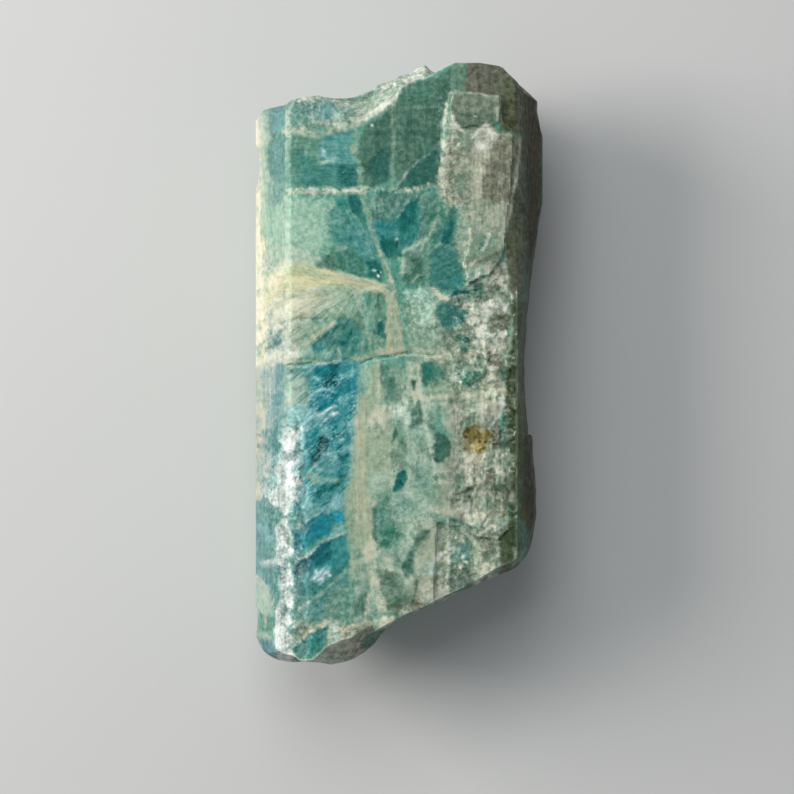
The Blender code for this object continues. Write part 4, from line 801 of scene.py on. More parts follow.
# Clear windows, which the grain does not cross: as for the areas.
WINDOWS = [
    ("deep", 0.36, 0.75, [(-7.1, 23.5), (-5.2, 23.5), (-4.7, 20.2), (-6.8, 21.3), (-7.7, 22.3)]),
    ("dark_moss", 0.48, 0.45, [(-2.8, 28.7), (-1.3, 29.7), (-1.3, 25.6), (-2.5, 24.7), (-3.5, 25.6)]),
    ("dark_moss", 0.36, 0.6, [(-3.5, 24.4), (-1.1, 26.1), (-1, 22.3), (-2.3, 21.5), (-3.8, 22.3)]),
    ("deep", 0.36, 0.4, [(-3.2, 24.2), (-1.3, 25.6), (-1, 22.3), (-2.3, 21.7), (-3.7, 22.5)]),
    ("dark_moss", 0.18, 0.85, UPPER_WEDGE),
    ("deep", 0.36, 0.4, UPPER_WEDGE),
    ("teal", 0.24, 0.8, [(-7.7, 19.6), (-7, 20), (-6, 20), (-6, 18.5), (-6.6, 17.9)]),
    ("deep", 0.24, 0.8, [(-5.8, 20), (-4.7, 20.3), (-4.4, 18.1), (-4, 17.9), (-3.7, 17.1), (-4.2, 16.9),
        (-5.6, 18.2), (-5.9, 19)]),
    ("teal_blue", 0.48, 0.6, [(-2.8, 17), (-0.8, 17), (-0.1, 15.1), (-1.8, 14.8), (-2.5, 15.3)]),
    ("deep", 0.18, 0.95, [(-2.3, 14.6), (-1.8, 15.1), (-1.1, 15.2), (-0.4, 14.9), (0.2, 13.6), (0.4, 12.9),
        (-0.4, 12.7), (-1.7, 12.9), (-2.2, 13.6)]),
    ("teal", 0.3, 0.8, [(-0.4, 17), (0.1, 18.2), (1, 19.3), (1.3, 19.6), (2, 19.7), (2.4, 18.9), (2.3, 17),
        (2, 15.3), (1.4, 14.5), (0.8, 14.3), (0.2, 14.6)]),
    ("deep", 0.14, 0.85, [(-0.1, 17.7), (1.3, 19.6), (1.9, 19.5), (1.9, 18.1), (1.7, 16.7), (1.3, 15.8),
        (0.6, 15.5), (0.1, 16)]),
    ("deep", 0.3, 0.8, [(4.9, 15.1), (5.6, 17.2), (6.1, 17.7), (6.5, 17.3), (6.5, 16.3), (6.1, 15.3),
        (6.6, 14.3), (5.9, 14.1), (5.2, 14.6)]),
    ("deep", 0.12, 0.7, [(9.7, 14.5), (10.1, 14.7), (10.1, 13.9), (9.6, 13.6)]),
    ("slate_green", 0.6, 0.5, RIGHT_WINDOW),
    ("deep", 0.6, 0.4, RIGHT_WINDOW),
    ("teal_blue", 0.36, 0.5, [(6.1, 10.5), (7.6, 10.5), (7.8, 8.8), (6.4, 8.6)]),
    ("deep", 0.14, 0.9, [(5, 9.5), (6.1, 9.4), (6, 8.8), (5.4, 8.7), (4.9, 9.1)]),
    ("deep", 0.12, 0.95, [(6.1, 8.1), (6.5, 8.8), (7.1, 9.1), (7.9, 8.9), (8.2, 8.5), (6.2, 7.9)]),
    ("deep", 0.24, 0.8, [(-3.8, 12.1), (-2.6, 12.2), (-2, 11.2), (-2.3, 10.1), (-3.7, 10.3)]),
    ("teal", 0.12, 0.6, [(4.7, 7.3), (5.2, 7.5), (6.4, 7.4), (6.8, 7.1), (7, 6.5), (7.8, 6.4), (8.3, 5.8),
        (8.2, 5.2), (6.7, 4.4), (6.4, 4), (5.8, 3.9), (5.3, 4.3), (5.3, 5), (4.9, 5.7), (4.4, 6.1),
        (4.2, 6.5)]),
    ("moss", 0.14, 0.8, [(6.8, 3.7), (7.3, 3.5), (8.4, 2.9), (8, 2.2), (8.2, 1.7), (7.8, 0.8), (7.3, 1.3),
        (7.4, 2.2), (7, 2.7)]),
    ("green", 0.3, 0.6, [(6.8, -2.1), (7.6, -1.5), (9, -0.9), (9.6, -1.1), (9.6, -2), (9, -2.7), (8, -2.7)]),
    ("green", 0.18, 0.9, [(2.6, -0.3), (3.1, 0.2), (4.1, 0.3), (4.7, 0.1), (5.4, -0.8), (5.4, -1.7),
        (4.7, -2), (3.8, -2), (2.9, -2.9), (2.5, -2.7)]),
    ("deep", 0.24, 0.5, [(2.8, -0.3), (3.5, 0.2), (4.2, 0.1), (4.1, -1), (3.1, -2.7), (2.6, -2.6)]),
    ("deep", 0.48, 0.3, [(-9.7, 3.1), (-7.8, 4.5), (-6.5, 5), (-5.9, 4), (-8.5, 1.6), (-9.5, 1.6)]),
    ("deep", 0.18, 0.8, [(-7.2, 2.1), (-5.6, 3.8), (-5.5, 3.3), (-6.1, 2.5), (-6.8, 2)]),
    ("teal_blue", 0.36, 0.7, [(-10.2, 2.2), (-9.2, 2.2), (-9.1, 1.4), (-10.1, 1.4)]),
    ("deep", 0.12, 0.95, [(-2.4, 5), (-2, 5.1), (-1.8, 4), (-1.8, 3.1), (-2.3, 3.1), (-2.6, 3.8),
        (-2.6, 4.5)]),
    ("moss", 0.18, 0.7, [(-2.8, 8.3), (-2.4, 8.2), (-2.2, 5.5), (-2.5, 5.2), (-2.8, 6.9)]),
    ("green", 0.3, 0.35, [(-2.2, -0.7), (-1.7, -0.2), (-1.2, -0.8), (-1.1, -1.7), (-0.4, -2.5), (0, -3.7),
        (-0.4, -4.5), (-1.2, -4.6), (-1.7, -3.7), (-1.8, -2.6), (-2.3, -1.9)]),
    ("moss", 0.24, 0.6, [(-1.4, -2), (-0.8, -1.6), (-0.5, -2.7), (-0.5, -4), (-1.1, -4.4), (-1.4, -3.4)]),
    ("dark_moss", 0.14, 0.7, [(1.6, -2.1), (1.9, -2.1), (1.9, -3.3), (1.7, -3.3)]),
    ("moss", 0.22, 0.65, [(1.6, -5.3), (2.4, -4.6), (2.9, -6.3), (3, -7.3), (2.4, -7), (1.9, -7.7)]),
    ("moss", 0.18, 0.7, [(-0.8, -9.3), (-0.8, -8.6), (-0.5, -8), (-0.1, -8.5), (-0.4, -9.1)]),
    ("sage", 0.24, 0.8, [(0.4, -9.2), (0.7, -9.7), (0.4, -11.7), (-0.2, -12.3), (-0.8, -12.5), (-1, -11.3),
        (-0.7, -10.5), (-0.1, -10)]),
    ("deep", 0.12, 0.85, [(0, -13), (1.1, -12.8), (1.1, -14.1), (0.1, -15.3), (-0.4, -15.2)]),
    ("dark_moss", 0.12, 0.9, [(4.4, -8.8), (4.7, -8.3), (5.2, -8.5), (6, -9.4), (6.1, -10.3), (5.9, -11.2),
        (5.4, -11.7), (4.7, -11.9), (4.3, -11.3), (4.2, -10.1)]),
    ("moss", 0.24, 0.55, [(3.4, -20.1), (3.4, -20.9), (2.6, -21.4), (2.4, -21.8), (1.6, -25), (1, -25.3),
        (0.7, -24.3), (1.3, -22.1), (2.9, -20.2)]),
    ("moss", 0.36, 0.4, [(-0.5, -22.9), (0.2, -22.6), (0.4, -23.8), (-0.1, -24.5), (-0.6, -24.1)]),
    ("abyss", 0.24, 0.9, [(-8.4, -0.5), (-7.8, 0.1), (-6.5, 0.4), (-7.3, -0.8), (-7.7, -2.6), (-8, -3.2),
        (-8.8, -2.9), (-9, -2.2)]),
    ("vivid", 0.36, 0.6, [(-6.4, -2.2), (-5.2, -2), (-5.4, -3.5), (-6.4, -3.5)]),
    ("vivid", 0.3, 0.8, [(-10.4, -4.1), (-9.7, -3.4), (-8.8, -3.3), (-7.8, -3.5), (-7.3, -4.1), (-7.4, -4.9),
        (-8.3, -5.3), (-9.2, -5.6), (-10.2, -5.1), (-10.6, -4.5)]),
    ("abyss", 0.24, 0.6, [(-9.7, -5.5), (-8.8, -4.7), (-8.4, -5.3), (-9.8, -6.2)]),
    ("ink", 0.14, 1, [(-9.8, -9.9), (-9.5, -8.9), (-8.8, -8.7), (-8.3, -9.3), (-8.3, -10.1), (-8.9, -10.5),
        (-9.6, -10.5)]),
    ("abyss", 0.24, 0.8, [(-8.3, -8.5), (-7.1, -8.3), (-7, -9.3), (-7.9, -9.5)]),
    ("ink", 0.22, 0.7, [(-10.6, -12.1), (-10.3, -11.3), (-9.6, -10.9), (-9.7, -11.7), (-10.3, -12.4)]),
    ("deep", 0.3, 0.7, [(-12.2, -13.4), (-11.9, -12.5), (-11.2, -12.2), (-10.9, -12.7), (-11.6, -13.4)]),
    ("deep", 0.24, 0.7, [(-7.1, -11.1), (-6.1, -11), (-6.2, -12.4), (-7, -12.3)]),
    ("deep", 0.22, 0.65, [(-10.2, -15.8), (-9.8, -15.1), (-9.2, -14.6), (-7.4, -14.5), (-7, -14.8),
        (-7.3, -15.3), (-8.3, -15.4), (-9.2, -16), (-10, -16.3)]),
    ("blue", 0.24, 0.8, [(-12.6, -17.3), (-12.4, -16.6), (-11.6, -16.5), (-11.4, -17), (-11.6, -17.6),
        (-12.4, -17.9)]),
    ("teal_blue", 0.36, 0.7, [(-10.2, -16.3), (-9, -15.9), (-8, -16.1), (-8.3, -17), (-9.7, -17.2)]),
    ("vivid", 0.12, 0.97, [(-12.7, -22.4), (-12.5, -20.5), (-11.5, -19.2), (-9.2, -17.8), (-7.9, -17.6),
        (-6.7, -17.7), (-6.6, -18.3), (-6.7, -18.9), (-7.3, -18.9), (-7.9, -19.2), (-8.5, -19.9),
        (-9, -20.7), (-10.6, -22), (-11.3, -22.4), (-12.1, -22.5)]),
    # Painted highlight: the bright blue at this lens's right end.
    ("bright", 0.24, 0.85, [(-7.9, -17.9), (-6.7, -17.7), (-6.6, -18.8), (-7.8, -18.9)]),
    ("teal_blue", 0.14, 0.9, [(-12.5, -25.4), (-12.5, -24.8), (-12.2, -24.1), (-10.9, -23.2), (-8.9, -21.4),
        (-6.5, -20.4), (-6.2, -20.8), (-6, -23.8), (-7.1, -25), (-10.4, -26.2), (-12.4, -26)]),
    ("lens", 0.12, 0.95, [(-12.5, -25.3), (-12.5, -24.7), (-12.1, -24.1), (-10.9, -23.2), (-8.9, -21.4),
        (-8.2, -21.1), (-8, -22.1), (-8, -23.2), (-9.2, -24.1), (-10.1, -24.3), (-12.1, -25.9)]),
    ("slate", 0.36, 0.7, [(-12.5, -26.2), (-11.5, -25.4), (-10.6, -25.3), (-10.3, -26.5), (-10.6, -27.4),
        (-11.2, -28.4), (-11.9, -28.6)]),
    # Painted highlight: the glint in the lower lens.
    ("glint", 0.36, 0.5, [(-10.4, -25.1), (-10.1, -24.7), (-8.9, -24.4), (-8.3, -24.5), (-8.2, -25.3),
        (-9.2, -26.5), (-9.8, -26.7), (-10.3, -26.1)]),
    ("teal", 0.18, 0.9, [(-12.4, -33.8), (-11.5, -32.9), (-10.1, -32.1), (-8.6, -31.5), (-8.5, -33.2),
        (-9.4, -34.4), (-10.4, -35.5), (-11.9, -35.5), (-12.5, -34.6)]),
]

# Veins: colour, half width, how soft the edge is, strength, line.
LINES = [
    # Painted highlight: the pale line along the broad face's left edge, where the worn edge catches the left
    # lamp, fading lower down.
    ("veil", 0.26, 0.12, 1, [(-13.4, 31.1), (-13.4, 12.2)]),
    ("veil", 0.24, 0.3, 0.35, [(-13.4, 12.2), (-13.7, -6.8)]),
    ("cream", 0.3, 0.24, 0.8, [(-13.8, 27.9), (-12.8, 28), (-10.4, 27.5), (-9.5, 27.4), (-6.8, 28.3),
        (-5.3, 28.5), (-4, 29.1)]),
    ("chip", 0.12, 0.14, 0.9, [(-7.3, 28.5), (-5.3, 28.9), (-3.7, 29.5), (-1, 31.3), (-0.2, 32),
        (0.1, 32.9)]),
    ("white", 0.11, 0.14, 0.8, [(-3.5, 30.2), (-0.6, 31.7)]),
    ("cream", 0.31, 0.24, 0.8, [(-13.2, 20.6), (-11.9, 20.7), (-7.3, 20.6), (-4.4, 20.8)]),
    ("chip", 0.14, 0.12, 0.8, [(-10.7, 20.8), (-8.8, 20.9), (-6.6, 20.7), (-5, 20.8)]),
    ("cream", 0.18, 0.24, 0.6, [(-4.4, 20.8), (-2.3, 21.1), (0.1, 20.7), (4.4, 21.3)]),
    ("straw", 0.31, 0.18, 0.8, [(-5.3, 28.3), (-5, 27.1), (-5.4, 25.9), (-5.2, 24.9), (-4.7, 23.9),
        (-4.9, 22.6), (-4.6, 21.3), (-4, 20.8)]),
    ("straw", 0.24, 0.22, 0.7, [(-4.4, 20.3), (-3.7, 18.4), (-2.8, 14.8), (-1.8, 12.2), (-1.1, 9.5)]),
    ("cream", 0.22, 0.18, 0.8, [(-2.4, 13.5), (-1.6, 11.9), (-0.4, 8.2)]),
    ("straw", 0.18, 0.18, 0.6, [(-0.7, 31.3), (-0.6, 25.6), (-1, 21.3)]),
    ("milky", 0.11, 0.12, 0.5, [(0.4, 30.7), (5.3, 30.8)]),
    ("veil", 0.12, 0.12, 0.8, [(4.7, 25.4), (4, 25.5), (2.3, 24.3), (0.2, 22), (-0.2, 21.2)]),
    ("veil", 0.11, 0.12, 0.8, [(-0.2, 17.7), (0.1, 18.4), (1.1, 19.6)]),
    ("rock", 0.1, 0.12, 0.8, [(6.1, 32.3), (7.6, 32.5), (9.7, 32.5), (10.6, 32.1), (12.1, 32)]),
    ("rock", 0.12, 0.12, 0.9, [(12.1, 32), (11.8, 29.1)]),
    ("chip", 0.18, 0.12, 0.9, [(6.6, 28.7), (7.1, 28.3), (7.6, 28.1)]),
    ("chip", 0.12, 0.12, 0.9, [(8.8, 27.3), (10, 28.4)]),
    ("rock", 0.12, 0.12, 0.8, [(14.6, 27.1), (14.5, 25), (14.2, 22.6), (12.7, 15.8), (12.6, 13.6),
        (13.1, 8.8)]),
    ("white", 0.19, 0.12, 1, [(10.8, 15.5), (10.1, 13.6)]),
    ("stone", 0.18, 0.18, 0.6, [(9.5, 12.3), (12.6, 13.6)]),
    ("straw", 0.17, 0.24, 0.5, [(5, 20.1), (4.7, 17.8), (3.4, 14.8), (3.4, 9.3)]),
    ("veil", 0.16, 0.14, 0.8, [(0.5, 10.6), (0.5, 13.4), (2.5, 14.5), (3.7, 15.8)]),
    ("veil", 0.18, 0.14, 0.7, [(-9.6, 12.3), (-8.8, 13.1), (-7.9, 13.6), (-6.5, 13.9)]),
    # Painted highlight: the small pale arc and the streak below it in the upper window.
    ("icy", 0.14, 0.12, 0.8, [(-9.1, 25.6), (-9.2, 25), (-8.6, 24.5), (-7.7, 24.8)]),
    ("veil", 0.14, 0.12, 0.8, [(-9.6, 24.1), (-7.3, 24.5)]),
    ("cream", 0.12, 0.12, 0.8, [(-8.9, 11.2), (-1.6, 9.5)]),
    ("cream", 0.14, 0.18, 0.7, [(-4.7, 8.7), (-3.2, 9.1), (-1.3, 8.6)]),
    ("cream", 0.16, 0.18, 0.7, [(-5.4, 8.9), (-4, 5), (-3.2, 1.4)]),
    ("veil", 0.13, 0.16, 0.6, [(-4.7, 8.8), (-3.7, 5.7)]),
    ("veil", 0.14, 0.18, 0.7, [(-5.6, 8.8), (-8.3, 4.7)]),
    ("veil", 0.14, 0.18, 0.6, [(-6.4, 8.6), (-9.2, 5.5), (-10.4, 3.8)]),
    ("veil", 0.16, 0.18, 0.6, [(-9.5, 6.9), (-10.9, 5.5), (-14.5, 3.1)]),
    ("cream", 0.16, 0.22, 0.7, [(-7.8, 5), (-11.4, 2.2), (-13.1, 1.4)]),
    ("chip", 0.36, 0.36, 0.7, [(-13.8, 5.5), (-13.1, 4.7), (-14, 4)]),
    ("chip", 0.36, 0.36, 0.7, [(-13.6, 2.6), (-12.8, 1.6), (-13.6, 0.9), (-12.4, 0.7)]),
    ("veil", 0.18, 0.18, 0.8, [(-7.4, 1.9), (-7.1, 1.1), (-7.6, 0.4)]),
    ("cream", 0.16, 0.14, 0.8, [(-11.9, 0.2), (-10.9, 0.3), (-8, 0.1), (-7.1, 0.4)]),
    ("beige", 0.24, 0.24, 0.8, [(-5.6, 0.8), (-4.4, 0.7), (-3.2, 1.1), (-1.1, 1.6), (1.3, 1.7), (3.7, 0.9),
        (6.1, 0.8), (8.5, 1.1)]),
    ("chip", 0.1, 0.12, 0.8, [(6, 7.9), (7.9, 8.4)]),
    ("cream", 0.12, 0.14, 0.5, [(-5, -6.8), (-5, -10.4), (-5.2, -14), (-5, -18.8)]),
    ("cream", 0.11, 0.14, 0.5, [(-4.2, -4.4), (-4.4, -9.2), (-4.1, -18.8)]),
    ("chip", 0.12, 0.14, 0.6, [(-2.4, 0.2), (-2.4, -2), (-2.6, -3.9)]),
    ("chip", 0.18, 0.18, 0.8, [(-3, -5.7), (-3.6, -6.8)]),
    ("veil", 0.11, 0.11, 0.7, [(0.5, -0.5), (0.5, -4.5)]),
    ("veil", 0.24, 0.22, 0.6, [(1, 0.2), (1.1, -2), (0.8, -4.4), (0.4, -5.8), (-0.4, -6.3)]),
    ("veil", 0.23, 0.17, 0.85, [(2.5, -0.4), (2.8, -4), (3.2, -7.5), (4.3, -12)]),
    ("cream", 0.22, 0.22, 0.8, [(2.5, -4), (4.9, -4), (12.6, -3.5)]),
    ("cream", 0.14, 0.14, 0.8, [(-3.4, -16.4), (-2.8, -16.6), (-3.4, -17.8), (-3.1, -19.4), (-3.4, -21.2),
        (-2.8, -21.8)]),
    ("dark_moss", 0.19, 0.14, 0.7, [(-3, -17.5), (-3, -21.3)]),
    ("cream", 0.43, 0.18, 1, [(-3.3, -21.7), (-3, -25.7), (-2, -29.5)]),
    ("cream", 0.22, 0.18, 0.85, [(-4.1, -22.3), (-3.3, -26.8), (-4, -30.7)]),
    ("veil", 0.18, 0.16, 0.6, [(1.3, -12.8), (1.1, -14.2), (0.1, -15.4)]),
    ("veil", 0.14, 0.16, 0.5, [(1.7, -9.2), (1.8, -12.8), (1.6, -16.4)]),
    ("veil", 0.12, 0.12, 0.6, [(-0.4, -23.4), (2.2, -20.2)]),
    ("cream", 0.19, 0.18, 0.75, [(3.7, -17.5), (6.4, -18.1), (8.8, -19.1), (11.8, -19.5)]),
    ("dark_moss", 0.14, 0.14, 0.7, [(6.2, -18.7), (9, -19.7)]),
    ("chip", 0.11, 0.12, 0.8, [(5.9, -18.8), (5.8, -27.4)]),
    ("dark_moss", 0.1, 0.12, 0.6, [(2.2, -26), (2, -27.4), (1.4, -29.1)]),
    ("chip", 0.12, 0.12, 0.8, [(11.5, -18.8), (11.6, -21.2), (12, -24.3)]),
    ("chip", 0.17, 0.14, 0.7, [(4.2, -23.9), (4.9, -22.9), (5.8, -22.3)]),
    ("chip", 0.12, 0.12, 0.8, [(8.4, -16.8), (8.4, -17.7), (8, -17.9)]),
    ("mud", 0.11, 0.12, 0.7, [(9, -11.3), (9.1, -14.6)]),
    ("rock", 0.19, 0.19, 0.6, [(13.4, -9.2), (13.6, -16.4)]),
    ("chip", 0.12, 0.12, 0.8, [(12.5, -2), (12.4, -5.4), (11.8, -6.5), (10.7, -7.9)]),
    ("bark", 0.14, 0.18, 0.8, [(12.8, -12.8), (13, -16.4), (12.6, -18.5)]),
    ("rock", 0.12, 0.14, 0.7, [(13.8, -22.1), (13.9, -23.6), (13.8, -26)]),
    ("chip", 0.11, 0.11, 0.8, [(13.6, 8.5), (13.7, 7.3)]),
    # Short icy and white lines in the blue zone: bright crack edges, with painted glints among them.
    ("icy", 0.1, 0.1, 0.8, [(-10.6, -4), (-9.7, -3.3), (-9, -3.2)]),
    ("icy", 0.1, 0.1, 0.8, [(-9, -3.2), (-7.6, -3.5)]),
    ("white", 0.11, 0.1, 0.9, [(-9.8, -6.3), (-7.7, -5.1)]),
    ("white", 0.1, 0.1, 0.8, [(-9.5, -7.4), (-8.9, -6.7), (-8, -5.9)]),
    ("icy", 0.1, 0.1, 0.9, [(-10.4, -8), (-9.8, -6.9), (-9, -6.1)]),
    ("icy", 0.1, 0.1, 0.8, [(-9, -7.7), (-7.9, -6.4)]),
    ("white", 0.13, 0.12, 0.9, [(-7.9, -6.2), (-7.4, -5.9)]),
    ("icy", 0.12, 0.12, 0.8, [(-10.9, -6.8), (-9.7, -5.3)]),
    ("icy", 0.1, 0.1, 0.7, [(-7.4, -2.5), (-6.6, -1)]),
    ("icy", 0.14, 0.12, 0.8, [(-10.3, -1.7), (-9.7, -1.9)]),
    ("icy", 0.1, 0.1, 0.9, [(-7.8, -9.9), (-7.3, -9.3), (-6.6, -9.1)]),
    ("icy", 0.12, 0.11, 0.8, [(-9.5, -8.1), (-8.8, -7.7)]),
    ("white", 0.13, 0.12, 0.8, [(-9, -11), (-8.5, -10.7)]),
    ("icy", 0.14, 0.12, 0.7, [(-11.9, -8.7), (-11.3, -9.4), (-11.9, -10.1)]),
    ("veil", 0.16, 0.14, 0.7, [(-11.9, -14.2), (-10.7, -13), (-10, -12.1)]),
    ("white", 0.13, 0.12, 0.9, [(-11.5, -17.2), (-11.3, -17.2)]),
    ("chip", 0.12, 0.12, 0.7, [(-12.1, -19.7), (-10.7, -18.7), (-9.2, -17.8)]),
    ("chip", 0.12, 0.12, 0.8, [(-12.4, -23.8), (-11.3, -23.3), (-9, -21.4), (-6.5, -20.3)]),
    ("icy", 0.1, 0.1, 0.8, [(-12, -21.9), (-11.5, -22.3)]),
    ("veil", 0.14, 0.18, 0.7, [(-11.9, -29.6), (-10.7, -28.4), (-7.7, -26.2), (-6.5, -25)]),
    ("cream", 0.22, 0.18, 0.8, [(-11.9, -33.2), (-10.9, -32), (-8.8, -31)]),
    ("veil", 0.18, 0.18, 0.7, [(-10, -35.8), (-8.8, -35.1), (-7.8, -34.1)]),
    # Painted highlight: white and glint lines across the lower lens's glint.
    ("white", 0.1, 0.12, 0.9, [(-10.6, -26.1), (-9.2, -24.8)]),
    ("white", 0.1, 0.12, 0.9, [(-9.8, -26.2), (-9, -25.4), (-8.3, -24.9)]),
    ("glint", 0.1, 0.12, 0.9, [(-9.6, -26.7), (-9, -26.1)]),
    ("slate", 0.38, 0.36, 0.8, [(-14.4, -0.5), (-14.9, -10.4)]),
    ("slate_green", 0.42, 0.36, 0.5, [(-17.2, -8.7), (-16, -8.5), (-14.8, -9.2)]),
    ("slate_green", 0.36, 0.36, 0.5, [(-17, -9.9), (-15.7, -10), (-14.5, -9.8)]),
    ("chip", 0.16, 0.14, 0.8, [(-16, -13.7), (-15.2, -13), (-14.3, -12.5)]),
    ("chip", 0.14, 0.14, 0.8, [(-16.2, -15.2), (-15.5, -14.7), (-14.5, -14.5)]),
    ("white", 0.3, 0.24, 0.7, [(-16.4, -24.3), (-14.3, -23.8)]),
    ("cream", 0.24, 0.18, 0.8, [(-17.6, -25.7), (-16.7, -26.3), (-15.7, -27.4)]),
    ("cream", 0.18, 0.18, 0.6, [(-16.2, -30.3), (-16.1, -31.7)]),
]

# Spots: colour, x, y, radius, strength. The white spots about (-9, -25) and the glint spot at
# (-8.9, 25.4) are painted highlights.
SPOTS = [
    ("chip", -3.2, 28.6, 0.26, 1), ("white", -2.5, 10.5, 0.22, 1), ("icy", -2.9, 11.1, 0.24, 1),
    ("icy", -2.2, 11, 0.19, 1), ("black", -2.5, 11, 0.14, 0.8), ("black", -9.2, -29.8, 0.19, 1),
    ("black", 8, -8.8, 0.22, 0.9), ("black", 9.6, -9.3, 0.16, 1), ("mud", 8.6, -8.9, 0.3, 0.5),
    ("white", 7.4, -2.2, 0.24, 1), ("white", 4.6, -23.5, 0.31, 0.9), ("white", 7.3, -24.5, 0.29, 0.9),
    ("white", 8, -23.9, 0.22, 0.9), ("chip", 7.7, -23.2, 0.29, 0.7), ("white", 12.8, 6.9, 0.48, 0.9),
    ("white", 4.9, -23, 0.36, 0.7), ("chip", 3.7, -25.1, 0.36, 0.5), ("white", -11.9, -7.7, 0.36, 0.6),
    ("white", -13.1, -8.7, 0.6, 0.8), ("rust", 10.3, -26.1, 0.42, 0.5), ("rust", 2.2, -29, 0.24, 0.3),
    ("icy", -0.2, 14.9, 0.24, 0.9), ("chip", 0.2, 33.1, 0.18, 1), ("chip", 9.1, 29.7, 0.16, 0.9),
    ("chip", 10, 26.1, 0.36, 0.8), ("chip", 7.2, 26.3, 0.3, 0.7), ("white", -10, -25, 0.3, 0.8),
    ("chip", 1.3, -18.8, 0.18, 0.9), ("white", 9.5, 1.6, 0.22, 0.9), ("white", 11.6, 1.5, 0.24, 0.9),
    ("white", 8.4, 5, 0.22, 0.9), ("white", 9.4, 7.6, 0.19, 0.8), ("white", 10.9, 7.6, 0.19, 0.8),
    ("white", 11.9, -4.1, 0.22, 0.9), ("glint", -8.9, 25.4, 0.19, 0.8), ("veil", -11.2, 25.3, 0.24, 0.6),
    ("chip", 3.5, 21.5, 0.19, 0.9), ("white", -6.7, -29.8, 0.16, 0.8), ("black", 7.3, -10.4, 0.14, 0.6),
    ("white", -0.6, 33.8, 0.22, 0.8), ("chip", -1.9, 33.5, 0.24, 0.9), ("chip", 2.2, 35.3, 0.22, 0.8),
    ("chip", -7.9, 31.5, 0.18, 0.7), ("chip", -11.3, 31.9, 0.24, 0.8), ("white", -12, 31.5, 0.22, 0.8),
    ("white", -5.4, -31.3, 0.17, 0.9), ("chip", -7.6, -32, 0.24, 0.7), ("stone", -13, -0.9, 0.36, 0.6),
    ("white", -8.3, -25.4, 0.26, 0.8), ("white", -9.1, -25.9, 0.24, 0.7), ("chip", 7.8, -11.2, 0.18, 0.9),
    ("chip", 8.5, -14.1, 0.18, 0.8), ("white", 6.8, -20.9, 0.14, 0.9),
]

# Grain: streaks that slant, stand upright, lie level or fan out, sugary crumbs, and lacy sheets of cracks.
GRAINS = ("slanting", "upright", "level", "fan", "sugary", "lacy")
